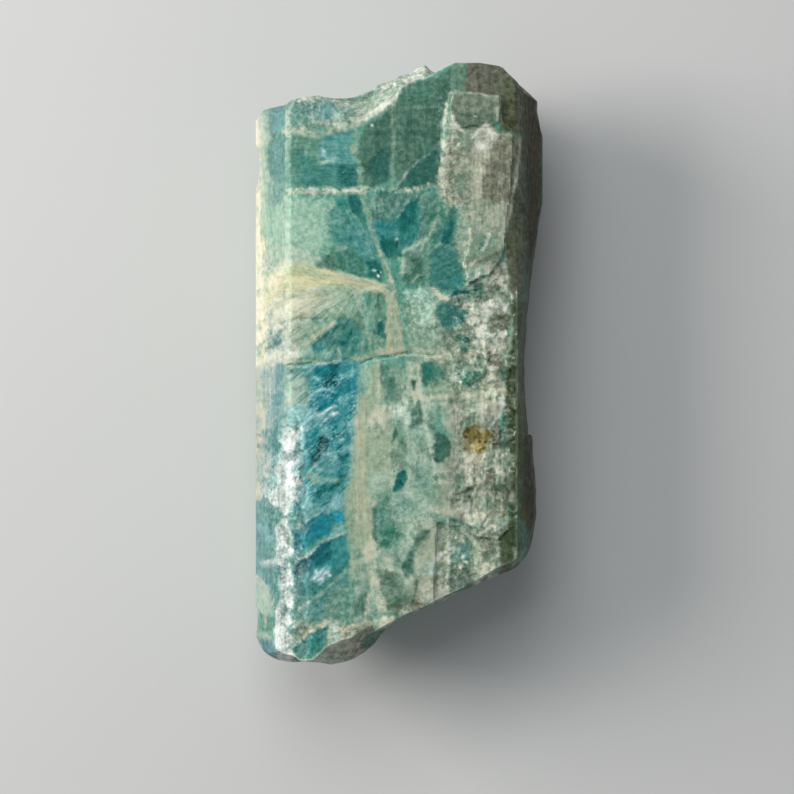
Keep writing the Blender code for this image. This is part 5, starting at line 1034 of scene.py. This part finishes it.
# Where each grain shows: kind, how soft the edge is, strength, outline.
ZONES = [
    ("slanting", 0.72, 1, [(-13.6, -0.5), (-4.9, 0.2), (-6.1, -16.4), (-7.1, -17.8), (-11.9, -20),
        (-12.8, -17.6), (-13.6, -9.2)]),
    ("slanting", 0.72, 0.4, [(-12.8, -17.6), (-6.1, -16.4), (-6.6, -30.5), (-11.9, -31), (-12.4, -28.4)]),
    ("slanting", 0.72, 0.5, [(-17.6, -8), (-13.8, -8), (-13.8, -16.4), (-17.6, -16.4)]),
    ("fan", 0.96, 0.9, [(-17.2, 8.8), (-13.1, 11.9), (-6.5, 11.2), (-0.8, 9.3), (1.3, 2.2), (-7.1, 0.2),
        (-17.2, 0.2)]),
    ("fan", 0.96, 0.7, [(-7.1, 20.2), (4.9, 20.2), (7.6, 8.8), (-0.5, 8.1), (-6.5, 14.2)]),
    ("fan", 0.96, 0.7, [(-4.4, -0.3), (4.9, 0.2), (4.9, -28.4), (-1.1, -30.3), (-3.2, -28.4)]),
    ("upright", 0.6, 0.4, [(-18.4, 31.6), (-13.8, 31.6), (-13.8, 12.2), (-18.4, 12.2)]),
    ("upright", 0.6, 0.7, [(-18.4, -0.2), (-13.8, -0.2), (-13.8, -9.2), (-18.4, -9.2)]),
    ("upright", 0.6, 0.5, [(-18.4, -16.4), (-14, -16.4), (-14, -36.2), (-18.4, -36.2)]),
    ("upright", 0.72, 0.6, [(-6.4, 0.2), (-2.8, 0.2), (-3, -14), (-2.5, -30.8), (-5.9, -30.8),
        (-5.9, -6.8)]),
    ("upright", 0.96, 0.4, [(-4.7, 31.6), (4.9, 34.6), (12.7, 36.2), (12.7, 31.9), (4.9, 31.6), (4.7, 21.4),
        (-4.7, 21.4)]),
    ("upright", 0.96, 0.7, [(4.9, -3.8), (13.3, -3.8), (13.3, -18.8), (4.9, -18.8)]),
    ("upright", 0.96, 0.6, [(8.3, 25.6), (14.6, 27.1), (12.7, 13), (8.3, 13)]),
    ("upright", 0.96, 0.3, [(12.7, 28), (17.5, 28), (17.5, -33.2), (12.7, -33.2)]),
    ("level", 0.72, 0.5, [(-13.3, 27.7), (-5, 28.3), (-4.7, 20.6), (-13.3, 20.6)]),
    ("sugary", 0.48, 1, [(6.8, 8.8), (9.1, 11.5), (12.7, 12.2), (13.6, 7.6), (13.6, -2), (12.8, -8),
        (13.1, -18.8), (8.5, -18.8), (5.9, -16.4), (7.1, -9.2), (5.9, -4.4), (5.6, 1.6)]),
    ("sugary", 0.24, 0.9, [(4.7, 31.4), (6.4, 31.4), (6.8, 28.3), (6.4, 25.6), (6.7, 19), (5.6, 17.8),
        (4.4, 22)]),
    ("sugary", 0.48, 0.4, [(4.9, 31.4), (6.4, 31.4), (6.8, 28.3), (10, 28.5), (11.9, 27.5), (14.6, 27.1),
        (14, 20.8), (12.6, 13), (8.5, 11.5), (7.6, 13.6), (8, 17.9), (4.7, 20.8)]),
    ("sugary", 0.36, 0.6, [(-13.3, 32), (-5.9, 32.5), (-2.3, 34.3), (3.1, 36.4), (4.9, 35), (0.1, 32.6),
        (-0.4, 30.9), (-3.5, 29.2), (-6.5, 28.3), (-13.3, 27.7)]),
    ("sugary", 0.24, 0.9, [(-13.6, 21.3), (-4.4, 21.2), (4.4, 21.3), (4.4, 20.5), (-4.4, 20.3),
        (-13.6, 19.9)]),
    ("sugary", 0.36, 1, WORN_EDGE),
    ("sugary", 0.48, 0.7, [(4.9, -19.3), (12.1, -19.3), (12.1, -26), (8.5, -28.4), (2.5, -29.8),
        (-3.2, -32.7), (-3.2, -30.3), (2.5, -28.4), (4.9, -23.6)]),
    ("sugary", 0.6, 0.8, [(-1.3, -4.6), (1.8, -4.1), (2, -7.3), (-0.8, -7.3)]),
    ("sugary", 0.6, 0.6, [(0.4, 9.3), (8.5, 9.1), (7.3, 4), (4.9, 2.8), (1.3, 4)]),
    ("sugary", 0.6, 0.5, [(3.7, 2.2), (6.8, 2.2), (6.8, 0.2), (3.7, 0.2)]),
    ("sugary", 0.6, 0.4, [(-7.6, 23.5), (-4.9, 23.9), (-4.4, 20.1), (-7.6, 20.3)]),
    ("sugary", 0.6, 0.5, [(-16.4, 6.4), (-11.9, 5.5), (-11.6, 0.2), (-16.4, 0.2)]),
    ("sugary", 0.6, 0.6, [(-13.6, -30.8), (-5.9, -30.8), (-3.2, -33.2), (-7.1, -36.5), (-13.1, -36.5)]),
    ("lacy", 1.2, 0.9, [(-4.7, 20.1), (4.9, 20.1), (8.5, 7.6), (13.6, -2), (13.6, -20), (12.1, -26),
        (2.5, -29.8), (-1.8, -30.8), (-4.7, -14), (-4.4, -0.3), (-3.2, 2.8), (-4, 8.1), (-2.5, 12.2),
        (-4, 16)]),
    ("lacy", 0.96, 0.5, [(-13.3, 20.1), (-4.7, 20.1), (-4, 12.2), (-13.1, 13)]),
    ("lacy", 0.72, 0.85, [(-6.5, 0.2), (-3.2, 0.2), (-1.8, -29.6), (-5.9, -30.8), (-5.9, -6.8)]),
    ("lacy", 0.96, 0.3, [(-13.3, 27.7), (4.9, 31.6), (4.9, 20.6), (-13.3, 20.6)]),
    ("lacy", 0.72, 0.7, [(-13.3, 31.6), (4.9, 36.4), (-0.4, 30.9), (-3.5, 29.2), (-6.5, 28.3),
        (-13.3, 27.7)]),
    ("lacy", 0.72, 0.4, [(4.9, 28), (14.6, 27.1), (12.7, 13), (8.5, 11.5), (4.9, 20.8)]),
    ("lacy", 0.72, 0.6, [(-11.9, -29.8), (0.1, -29.8), (-3.5, -34.4), (-7.1, -36.5), (-13.1, -36.5),
        (-17.9, -35.6), (-17.6, -29.6)]),
    ("lacy", 0.96, 0.4, [(-13.6, -0.5), (-4.9, 0.2), (-6.6, -30.5), (-12.4, -28.4), (-13.6, -9.2)]),
]


class Stone:
    """The colour at each point in two layers: the clear stone's own, and a veil of fine cracks that
    covers a share of it."""

    def __init__(self, count, own, veil):
        self.own = np.repeat(linear(*STONE[own])[None, :], count, axis=0)
        self.veil = np.repeat(linear(*VEILS[veil])[None, :], count, axis=0)
        self.cover = np.zeros(count)

    def stain(self, name, amount, at=slice(None)):
        """Lays a named colour over the rest by amount. A veil's colour adds to the cover, one of the
        stone's own takes from it, and the layer that it joins takes its share of it."""
        under = self.cover[at] * (1 - amount)
        if name in VEILS:
            self.cover[at] = under + amount
            share = (amount / np.maximum(under + amount, 1e-6))[:, None]
            self.veil[at] += (linear(*VEILS[name]) - self.veil[at]) * share
        else:
            self.cover[at] = under
            share = (amount / np.maximum(1 - under, 1e-6))[:, None]
            self.own[at] += (linear(*STONE[name]) - self.own[at]) * share


def near(x, y, outline, reach):
    """The points within reach of the box round an outline."""
    low, high = np.min(outline, axis=0) - reach, np.max(outline, axis=0) + reach
    return np.flatnonzero((x > low[0]) & (x < high[0]) & (y > low[1]) & (y < high[1]))


def grains(x, y):
    """How strongly each kind of grain shows over (x, y): the greatest of its zones there."""
    weight = {kind: np.zeros(len(x)) for kind in GRAINS}
    for kind, soft, strength, outline in ZONES:
        at = near(x, y, outline, soft)
        here = strength * eased(-soft, soft, depth_inside(x[at], y[at], outline))
        weight[kind][at] = np.maximum(weight[kind][at], here)
    return weight


# Cracks fan out from here, where the widest veins meet, and those below the yellow band from its side.
FAN_MIDDLE, BAND_FAN_MIDDLE = (-0.8, 8.6), (-2.6, 10.8)
BAND_FAN_RIGHT, BAND_FAN_Y = -1.8, (0.0, 8.6)
FAN_RADIUS = 8.0


def fanned(x, y):
    """Places round the nearer fan's middle: how far round it, measured at FAN_RADIUS, and how far out."""
    banded = (x < BAND_FAN_RIGHT) & (y > BAND_FAN_Y[0]) & (y < BAND_FAN_Y[1])
    middles = zip((x, y), FAN_MIDDLE, BAND_FAN_MIDDLE)
    dx, dy = (a - np.where(banded, band, main) for a, main, band in middles)
    return FAN_RADIUS * np.arctan2(-dy, -dx), np.hypot(dx, dy)


def sheets(across, way, size, seed):
    """Healed cracks seen nearly edge on: noise drawn out four times along one way is cut into steps,
    and each step starts sharp and fades, from 1 to 0."""
    steps = 2.4 * layered(across / size, way / (4 * size), 0 * across, 3, seed, 0.45)
    return (1 - (steps - np.floor(steps))) ** 3


WINDOW_FRAYING, WINDOW_FADE = 0.5, 0.5
STREAK_WAY = (0.755, 0.656)  # which way the slanting streaks run
LEAST_COVER, COVER_SPAN = 0.28, 0.62  # the veil where the areas lay none, and how much they can add


def crack_cover(u, v, around, out, blotch, lacy):
    """What sheets of healed cracks add to the cover: two sizes of them fan out, a third crosses them,
    and clear blotches lie between."""
    crack = sheets(around, out, 2.2, seed=61) + 0.6 * sheets(around, out, 0.9, seed=66)
    crack += 0.6 * sheets(v - 0.3 * u, u + 0.3 * v, 2.6, seed=71)
    return (0.34 * (crack - 0.55) - 0.15 * blotch) * lacy


def lay_areas(stone, x, y, u, v):
    """Lays each area's colour with a soft edge, u and v being places that wander round (x, y)."""
    for name, soft, strength, outline in AREAS:
        at = near(x, y, outline, soft + 0.5)
        stone.stain(name, strength * eased(-soft, soft, depth_inside(u[at], v[at], outline)), at)


def lay_windows(stone, x, y, u, v, fibre):
    """Lays each clear window: the grain frays its edge, and it fades from its upper left to its lower
    right."""
    for name, soft, strength, outline in WINDOWS:
        at = near(x, y, outline, soft + 0.5)
        depth = depth_inside(u[at], v[at], outline) + WINDOW_FRAYING * fibre[at]
        low, high = np.min(outline, axis=0), np.max(outline, axis=0)
        across = (u[at] - low[0]) / (high[0] - low[0]) + (high[1] - v[at]) / (high[1] - low[1])
        fading = 1 - WINDOW_FADE * eased(0.7, 2.0, across) + 0.5 * fibre[at]
        stone.stain(name, np.clip(strength * eased(-soft, soft, depth) * fading, 0, 1), at)


def lay_veins(stone, x, y, u, v):
    """Lays each vein with a soft edge, its width and strength varied by noise along it."""
    for name, width, soft, strength, line in LINES:
        at = near(x, y, line, 1.8 * width + 2 * soft + 0.5)
        wander = rippled(x[at], y[at], 0.7, seed=43, level=width)
        broken = rippled(x[at], y[at], 2.3, seed=41)
        away = to_line(u[at], v[at], line)
        wide = width * (1 + 0.5 * wander)
        amount = (1 - eased(wide - soft, wide + 1.6 * soft, away)) * (0.8 + 0.7 * broken + 0.4 * wander)
        stone.stain(name, np.clip(amount, 0, 1) * strength, at)


def lay_spots(stone, x, y, u, v):
    """Lays each spot, fading from half its radius to a fifth more than the radius."""
    for name, cx, cy, radius, strength in SPOTS:
        at = near(x, y, [(cx, cy)], radius + 0.5)
        away = np.hypot(u[at] - cx, v[at] - cy)
        stone.stain(name, strength * (1 - eased(0.5 * radius, 1.2 * radius, away)), at)


def marked(x, y, grain_of):
    """The stone seen through the broad face over (x, y): areas, then sheets of healed cracks and
    streaks, then clear windows, veins and spots, each laid over the ones before. All outlines wander
    by a little noise."""
    drift_x = 0.16 * rippled(x, y, 0.6, seed=1) + 0.10 * rippled(x, y, 1.9, seed=7)
    drift_y = 0.16 * rippled(x, y, 0.6, seed=2, level=9) + 0.10 * rippled(x, y, 1.9, seed=9, level=5)
    u, v = x + drift_x, y + drift_y
    stone = Stone(len(x), "pale", "veil")
    lay_areas(stone, x, y, u, v)
    # Dark stone shows few veils, and so does the painted shade on the right side.
    pale_unshaded = 0.3 + 0.7 * eased(0.03, 0.12, stone.own[:, 1])
    stone.cover = (LEAST_COVER + COVER_SPAN * stone.cover) * pale_unshaded
    blotch = rippled(x, y, 0.9, seed=31, level=2, octaves=4, gain=0.7)
    stone.own **= 1 + 0.2 * blotch[:, None]
    around, out = fanned(x + 1.5 * drift_x, y + 1.5 * drift_y)
    lacy = grain_of["lacy"] * (0.6 + 0.6 * noise(x * 0.3, y * 0.3, 0 * x, 75))
    stone.cover += crack_cover(u, v, around, out, blotch, lacy) * pale_unshaded
    # Slanting streaks, drawn out five times as long as they are wide.
    across, up = STREAK_WAY
    way, side = across * u + up * v, -up * u + across * v
    streak = layered(way * 0.5, side * 2.3, 0 * x, 3, 35, 0.6)
    stone.cover += (0.3 * streak + 0.3 * np.maximum(streak - 0.25, 0)) * grain_of["slanting"]
    # Rays, drawn out from the fans' middles.
    ray = layered(around * 1.1, out * 0.2, 0 * x, 3, 36, 0.6)
    fine_ray = layered(around * 2.4, out * 0.45, 0 * x, 3, 37, 0.6)
    stone.cover += 0.45 * ray * grain_of["fan"] * pale_unshaded
    stone.cover = 0.97 * eased(-0.05, 1.0, stone.cover)
    fibre = np.where(grain_of["slanting"] > 0.3, streak, 0.5 * ray + 0.7 * fine_ray)
    lay_windows(stone, x, y, u, v, fibre)
    lay_veins(stone, x, y, u, v)
    lay_spots(stone, x, y, u, v)
    return stone


# Bands over which something sets in, each from where it starts to where it is full: in z, how the
# markings show through from the broad face, in x the sides and the painted shade on the right, and in
# y and x the worn edge.
MARKED_Z = (6, 11)
DARK_BACK, DARK_SIDE, RIGHT_FACE, LEFT_FACE = (5, 13), (7, 11), (14.6, 15.6), (-13.2, -13.8)
CLOUDED_SIDES, ROUGH_RIGHT = (14.2, 15), (13.8, 14.6)
WORN_Y, WORN_SLOPE, WORN_SLOPE_END = (-4, -6), (-12.9, -12.4), (-11, -9)


def unmarked(x, y, z):
    """The stone where no marking is known: sheets of healed cracks over soft patches of pale, green
    and blue-green, darker towards the right as painted shade."""
    patch = layered(x * 0.13, y * 0.09, z * 0.13, 3, 51)
    blue = layered(x * 0.1, y * 0.08, z * 0.1, 2, 52)
    stone = Stone(len(x), "pale", "veil")
    stone.stain("green", eased(-0.1, 0.3, patch))
    stone.stain("teal", eased(0.05, 0.35, blue))
    stone.stain("deep", 0.7 * eased(0.3, 0.5, patch + 0.5 * blue))
    # Painted shade: the hidden stone darkens towards the right side.
    dark = eased(*DARK_BACK, x)
    stone.stain("night_green", 0.9 * dark)
    stone.cover = 0.35 - 0.4 * patch
    stone.cover += 0.3 * sheets(x + z, y, 4.0, seed=53) + 0.25 * sheets(y, x - z, 2.5, seed=54)
    stone.cover = np.clip(stone.cover, 0, 0.9) * (1 - 0.5 * dark)
    return stone


px, py, pz = points.T
cloud = layered(px * 0.7, py * 0.7, pz * 0.7, 4, 81, 0.6)
front = eased(*MARKED_Z, pz + 3 * cloud)
low_z = np.minimum(pz, BROAD_FACE)
ends = np.maximum(py - top_break(px, low_z), base_break(px, low_z) - py)
ends = eased(-0.8, 0, ends) * eased(0, 0.8, BROAD_FACE - pz)
grain_of = grains(px, py)
for kind in grain_of:
    grain_of[kind] = grain_of[kind] * front
grain_of["upright"] = np.maximum(grain_of["upright"], 0.5 * (1 - front))
seen, hidden = marked(px, py, grain_of), unmarked(px, py, pz)
own, veil = (
    a * front[:, None] + b * (1 - front[:, None])
    for a, b in ((seen.own, hidden.own), (seen.veil, hidden.veil))
)
cover = seen.cover * front + hidden.cover * (1 - front)
# The breaks and the sides are clouded through their depth too.
steep = np.maximum(ends, eased(*CLOUDED_SIDES, abs(px)))
cover = np.clip(cover + 0.35 * cloud * steep, 0, 1)
own = own ** (1 + 0.5 * cloud * steep)[:, None]
# The chipped field's small flats each have their own shade, from clear green to white.
_, large_shade, _, small_shade = field_flats(px, py)
flat = (large_shade * 0.8 + small_shade * 0.5) * grain_of["sugary"]
cover = np.clip(cover + 0.17 * flat, 0, 1)
veil = veil * (1 + 0.2 * flat)[:, None]
# The left face gets more of the lamp than the broad face does, so its colour is painted darker to even
# that out, and the right side is darkened as painted shade.
shaded_right = np.maximum(eased(*RIGHT_FACE, px), eased(*DARK_SIDE, px) * (1 - front))
painted_dimming = (1 - 0.25 * eased(*LEFT_FACE, px) * front) * (1 - 0.6 * shaded_right)
# The worn edge's own slope is turned to the lamp, and the blue stone on it is no paler for that.
slope = eased(*WORN_SLOPE, px) * eased(0.03, 0.3, BROAD_FACE - pz) * eased(*WORN_Y, py) * front
painted_dimming = painted_dimming * (1 - 0.35 * slope * (1 - eased(*WORN_SLOPE_END, px)))
own, veil = own * painted_dimming[:, None], np.clip(veil * painted_dimming[:, None], 0, 0.97)
# Saturated beryl is clear.
saturation = 1 - own[:, 0] / np.maximum(own.max(axis=1), 1e-4)
clear = eased(0.4, 0.95, saturation) * (1 - 0.7 * grain_of["sugary"])
# How rough the surface is: the chipped field, the breaks and the worn edge, against polished faces.
rough = np.maximum(grain_of["sugary"], 0.8 * ends)
rough = np.maximum(rough, 0.9 * eased(*ROUGH_RIGHT, px))
edge_band = 0.9 + 2.3 * eased(*WORN_Y, py)
rough = np.maximum(rough, 0.7 * front * (1 - eased(edge_band - 0.5, edge_band, abs(px - BROAD_LEFT))))


# --- The crystal itself --------------------------------------------------------------------------
# One piece of beryl, glassy where a face is whole and sugary where it is chipped. Its colour lies in
# the stone, under a polished or a crumbled surface, and the clear windows let light through.

SHARP_ANGLE = 38  # degrees between two faces past which their edge stays sharp
REFRACTION = 1.58
CLEAREST = 0.12  # transmission in the clearest windows
ABSORPTION, ABSORPTION_DENSITY = (0.35, 0.80, 0.74, 1), 70
SKIN_DEPTH = 0.0012  # how far light spreads under the surface, in metres
GLINT = (0.88, 0.91, 0.86, 1)
BUMP_HEIGHT = 0.00025
NOISE_RANGE = (0.32, 0.68)  # most of Blender's noise lies between these
# Noise sizes, in cells a metre: the plain cloudy grain, crumbs of sugary stone, glints and facets.
CLOUDY, CRUMBS, GLINTS, FACETS = 1500, 3400, 2400, 1700
# Streaks of each grain: how bright its threads are, then scale, turn in degrees and stretch.
STREAKS = {
    "slanting": (0.6, 3400, 41, 5), "upright": (0.2, 2400, 91, 8), "level": (0.25, 2800, 3, 6),
    "fan": (0.25, 2400, 90, 4),
}

mesh = bpy.data.meshes.new("crystal")
corner_counts = np.concatenate((np.full(len(quads), 4), np.full(len(fans), 3)))
corners = np.concatenate((quads.reshape(-1), fans.reshape(-1))).astype(np.int32)
mesh.vertices.add(len(points))
mesh.vertices.foreach_set("co", (points * MM).astype(np.float32).reshape(-1))
mesh.loops.add(len(corners))
mesh.loops.foreach_set("vertex_index", corners)
mesh.polygons.add(len(corner_counts))
mesh.polygons.foreach_set("loop_start", (np.cumsum(corner_counts) - corner_counts).astype(np.int32))
mesh.update(calc_edges=True)
mesh.validate()
mesh.polygons.foreach_set("use_smooth", np.ones(len(mesh.polygons), bool))
mesh.set_sharp_from_angle(angle=np.radians(SHARP_ANGLE))


def painted(name, kind, field, values):
    """Puts an array of one value or row for each point into the mesh as an attribute."""
    layer = mesh.attributes.new(name, kind, "POINT")
    layer.data.foreach_set(field, values.astype(np.float32).reshape(-1))


painted("own colour", "FLOAT_COLOR", "color", np.column_stack((own, np.ones(len(own)))))
painted("veil colour", "FLOAT_COLOR", "color", np.column_stack((veil, np.ones(len(veil)))))
for name, values in {"cover": cover, "clear": clear, "rough": rough, **grain_of}.items():
    painted(name, "FLOAT", "value", values)
painted("spread", "FLOAT_VECTOR", "vector", np.column_stack((*fanned(px, py), 0 * px)) * MM)
crystal = bpy.data.objects.new("crystal", mesh)
bpy.context.scene.collection.objects.link(crystal)


def beryl():
    """The stone's finish: its colour and clearness come with the mesh, and fine streaks, veils and
    sparkle are noise in the stone's own space."""
    material = bpy.data.materials.new("clouded beryl")
    material.use_nodes = True
    nodes, links = material.node_tree.nodes, material.node_tree.links
    shader, output = nodes["Principled BSDF"], nodes["Material Output"]

    def put(value, socket):
        """Sets a socket to a plain value, or links it to another node's output."""
        if isinstance(value, (int, float, tuple)):
            socket.default_value = value
        else:
            links.new(value, socket)

    def node(kind, **settings):
        """A node with its sockets and settings, each given by name."""
        made = nodes.new("ShaderNode" + kind)
        for key, value in settings.items():
            if key in made.inputs:
                put(value, made.inputs[key])
            else:
                setattr(made, key, value)
        return made

    def math(operation, a, b=0.0, c=0.0):
        """One sum on two or three values."""
        made = node("Math", operation=operation)
        for socket, value in zip(made.inputs, (a, b, c)):
            put(value, socket)
        return made.outputs[0]

    def ranged(value, low, high, to_low, to_high, ease="SMOOTHSTEP"):
        """The value moved from one range to another and held to it."""
        made = node("MapRange", interpolation_type=ease)
        for socket, number in zip(made.inputs, (value, low, high, to_low, to_high)):
            put(number, socket)
        return made.outputs[0]

    def attribute(name, output="Fac"):
        """What the mesh carries under a name."""
        return node("Attribute", attribute_name=name, attribute_type="GEOMETRY").outputs[output]

    def deepened(colour, power):
        """A colour raised to a power: over 1 is deeper, under 1 paler."""
        return node("Gamma", Color=colour, Gamma=power).outputs[0]

    def mixed(amount, a, b):
        """The colour a, with b over it by amount."""
        made = node("Mix", data_type="RGBA")
        for socket, value in ((made.inputs[0], amount), (made.inputs[6], a), (made.inputs[7], b)):
            put(value, socket)
        return made.outputs[2]

    place = node("TexCoord").outputs["Object"]

    def grain(scale, turn=0, stretch=1, detail=4.0, roughness=0.6, at=place):
        """Noise drawn out along one way: the place is turned, then squeezed along it."""
        turned = node("Mapping", vector_type="TEXTURE", Vector=at)
        turned.inputs["Rotation"].default_value = (0, 0, np.radians(turn))
        turned.inputs["Scale"].default_value = (stretch, 1, 1)
        made = node("TexNoise", Vector=turned.outputs[0], Scale=scale, Detail=detail, Roughness=roughness)
        return made.outputs["Fac"]

    def cells(scale):
        """Cells of stone round scattered points, some 1 / scale metres wide."""
        return node("TexVoronoi", feature="F1", Scale=scale, Vector=place)

    def fibres(scale, turn, stretch, at):
        """Long soft streaks, and where they cross their middle value, thin bright threads."""
        streak = grain(scale, turn, stretch, 5, 0.65, at)
        fold = math("SUBTRACT", 1, math("ABSOLUTE", math("MULTIPLY_ADD", streak, 2, -1)))
        return streak, ranged(fold, 0.94, 1.0, 0, 1)

    covered, clearness, roughness = (attribute(name) for name in ("cover", "clear", "rough"))
    zone = {kind: attribute(kind) for kind in (*STREAKS, "sugary")}
    cloudy = grain(CLOUDY, detail=6, roughness=0.7)
    # The grain that frays the veils: each zone's own streaks, over plain cloudy noise.
    frayed, total, threads = math("MULTIPLY", cloudy, 0.5), 0.5, 0.0
    for kind, (bright, *shape) in STREAKS.items():
        streak, thread = fibres(*shape, attribute("spread", "Vector") if kind == "fan" else place)
        frayed = math("MULTIPLY_ADD", streak, zone[kind], frayed)
        total = math("ADD", zone[kind], total)
        bright_thread = math("MULTIPLY", thread, math("MULTIPLY", zone[kind], bright))
        threads = math("MAXIMUM", bright_thread, threads)
    rank = ranged(math("DIVIDE", frayed, total), *NOISE_RANGE, -0.5, 0.5)
    threads = math("MULTIPLY", threads, ranged(grain(500, 20, 2, 2), 0.42, 0.62, 0, 1.6))
    # The fraying is strongest where half is veiled. Squared, the cover is even to the eye.
    strength = math("MULTIPLY_ADD", math("MULTIPLY", covered, math("SUBTRACT", 1, covered)), 0.9, 0.12)
    strength = math("MULTIPLY_ADD", zone["sugary"], 0.4, strength)
    veiled = math("ADD", math("MULTIPLY_ADD", rank, strength, covered), threads)
    veiled = math("POWER", ranged(veiled, 0, 1, 0, 1, "LINEAR"), 2)

    # Fibres and crumbs also deepen and pale each layer's own colour.
    fibrous = math("MULTIPLY_ADD", math("MAXIMUM", zone["slanting"], zone["fan"]), -0.3, -0.12)
    power = math("MULTIPLY_ADD", rank, fibrous, 1)
    power = math("MULTIPLY_ADD", math("SUBTRACT", cloudy, 0.5), -1.0, power)
    crumb = node("SeparateColor", Color=cells(CRUMBS).outputs["Color"]).outputs[0]
    power = math("MULTIPLY_ADD", math("SUBTRACT", crumb, 0.5), math("MULTIPLY", zone["sugary"], 0.45), power)
    clear_stone = deepened(attribute("own colour", "Color"), math("MAXIMUM", power, 0.3))
    veil_power = math("MULTIPLY_ADD", math("SUBTRACT", power, 1), 0.9, 1)
    veil_stone = deepened(attribute("veil colour", "Color"), veil_power)
    # Glints: the middles of small cells, where the cloudy grain is high and the stone is broken.
    sparkle = ranged(cells(GLINTS).outputs["Distance"], 0.05, 0.25, 1, 0)
    sparkle = math("MULTIPLY", sparkle, ranged(cloudy, 0.5, 0.62, 0, 1))
    broken = math("MULTIPLY_ADD", zone["sugary"], 0.7, 0.04)
    streaked = math("MAXIMUM", zone["slanting"], math("MULTIPLY", zone["fan"], 0.4))
    broken = math("MULTIPLY_ADD", streaked, 0.45, broken)
    stone = mixed(veiled, clear_stone, veil_stone)
    put(mixed(math("MULTIPLY", sparkle, broken), stone, GLINT), shader.inputs["Base Color"])

    through = math("MULTIPLY", clearness, math("SUBTRACT", 1, veiled))
    put(math("MULTIPLY", through, CLEAREST), shader.inputs["Transmission Weight"])
    put(ranged(roughness, 0, 1, 0.16, 0.45), shader.inputs["Roughness"])
    put(ranged(roughness, 0, 0.9, 0.2, 0.0), shader.inputs["Coat Weight"])
    shader.inputs["IOR"].default_value = REFRACTION
    shader.inputs["Specular IOR Level"].default_value = 0.25
    shader.inputs["Coat Roughness"].default_value = 0.08
    shader.inputs["Subsurface Weight"].default_value = 0.6
    shader.inputs["Subsurface Radius"].default_value = (0.6, 1.0, 1.0)
    shader.inputs["Subsurface Scale"].default_value = SKIN_DEPTH

    facet = math("MULTIPLY", cells(FACETS).outputs["Distance"], 0.6)
    bump = node("Bump", Distance=BUMP_HEIGHT, Height=math("ADD", math("MULTIPLY", cloudy, 0.6), facet))
    put(ranged(roughness, 0, 1, 0.05, 0.7), bump.inputs["Strength"])
    put(bump.outputs["Normal"], shader.inputs["Normal"])
    depth = node("VolumeAbsorption", Color=ABSORPTION, Density=ABSORPTION_DENSITY)
    put(depth.outputs[0], output.inputs["Volume"])
    return material


mesh.materials.append(beryl())
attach(crystal, "root")
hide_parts("aquamarine_crystal")


# --- The table, the lights and the camera --------------------------------------------------------
# The stone lies on a plain pale table, lit by soft lamps, the brightest on its left. Lengths here
# are in metres.

TABLE_HALF = 0.6
TABLE_CORNERS = [(x * TABLE_HALF, y * TABLE_HALF, 0) for x, y in ((-1, -1), (1, -1), (1, 1), (-1, 1))]
floor_mesh = bpy.data.meshes.new("table")
floor_mesh.from_pydata(TABLE_CORNERS, [], [(0, 1, 2, 3)])
floor = bpy.data.objects.new("table", floor_mesh)
bpy.context.scene.collection.objects.link(floor)
floor_material = bpy.data.materials.new("pale table")
floor_material.use_nodes = True
floor_shader = floor_material.node_tree.nodes["Principled BSDF"]
floor_shader.inputs["Base Color"].default_value = (0.62, 0.62, 0.61, 1)
floor_shader.inputs["Roughness"].default_value = 0.7
floor_mesh.materials.append(floor_material)

AIM = (0, 0, 0.01)  # the middle of the stone


def soft_lamp(name, place, size, power, colour):
    """A square lamp at place that faces the stone."""
    lamp = bpy.data.lights.new(name, "AREA")
    lamp.size, lamp.energy, lamp.color = size, power, colour
    lit = bpy.data.objects.new(name, lamp)
    lit.location = place
    lit.rotation_euler = (Vector(AIM) - Vector(place)).to_track_quat("-Z", "Y").to_euler()
    bpy.context.scene.collection.objects.link(lit)


soft_lamp("left lamp", (-0.42, 0.12, 0.26), size=0.25, power=2.3, colour=(1.0, 0.97, 0.92))
soft_lamp("high lamp", (-0.12, 0.30, 0.55), size=0.4, power=1.6, colour=(0.95, 0.98, 1.0))
world = bpy.data.worlds.new("room")
world.use_nodes = True
background = world.node_tree.nodes["Background"]
background.inputs["Color"].default_value = (0.9, 0.95, 1.0, 1)
background.inputs["Strength"].default_value = 0.24
bpy.context.scene.world = world
bpy.context.scene.view_settings.view_transform = "Standard"

VIEW_WIDTH = 0.09528  # what the picture takes in, at the broad face
VIEW_MIDDLE = (-0.00024, -0.00402)
LENS, SENSOR = 200, 36  # in the camera's own millimetres
camera_data = bpy.data.cameras.new("camera")
camera_data.lens, camera_data.sensor_width = LENS, SENSOR
camera_data.clip_start = 0.01
camera = bpy.data.objects.new("camera", camera_data)
camera.location = (*VIEW_MIDDLE, BROAD_FACE * MM + VIEW_WIDTH * LENS / SENSOR)
bpy.context.scene.collection.objects.link(camera)
bpy.context.scene.camera = camera
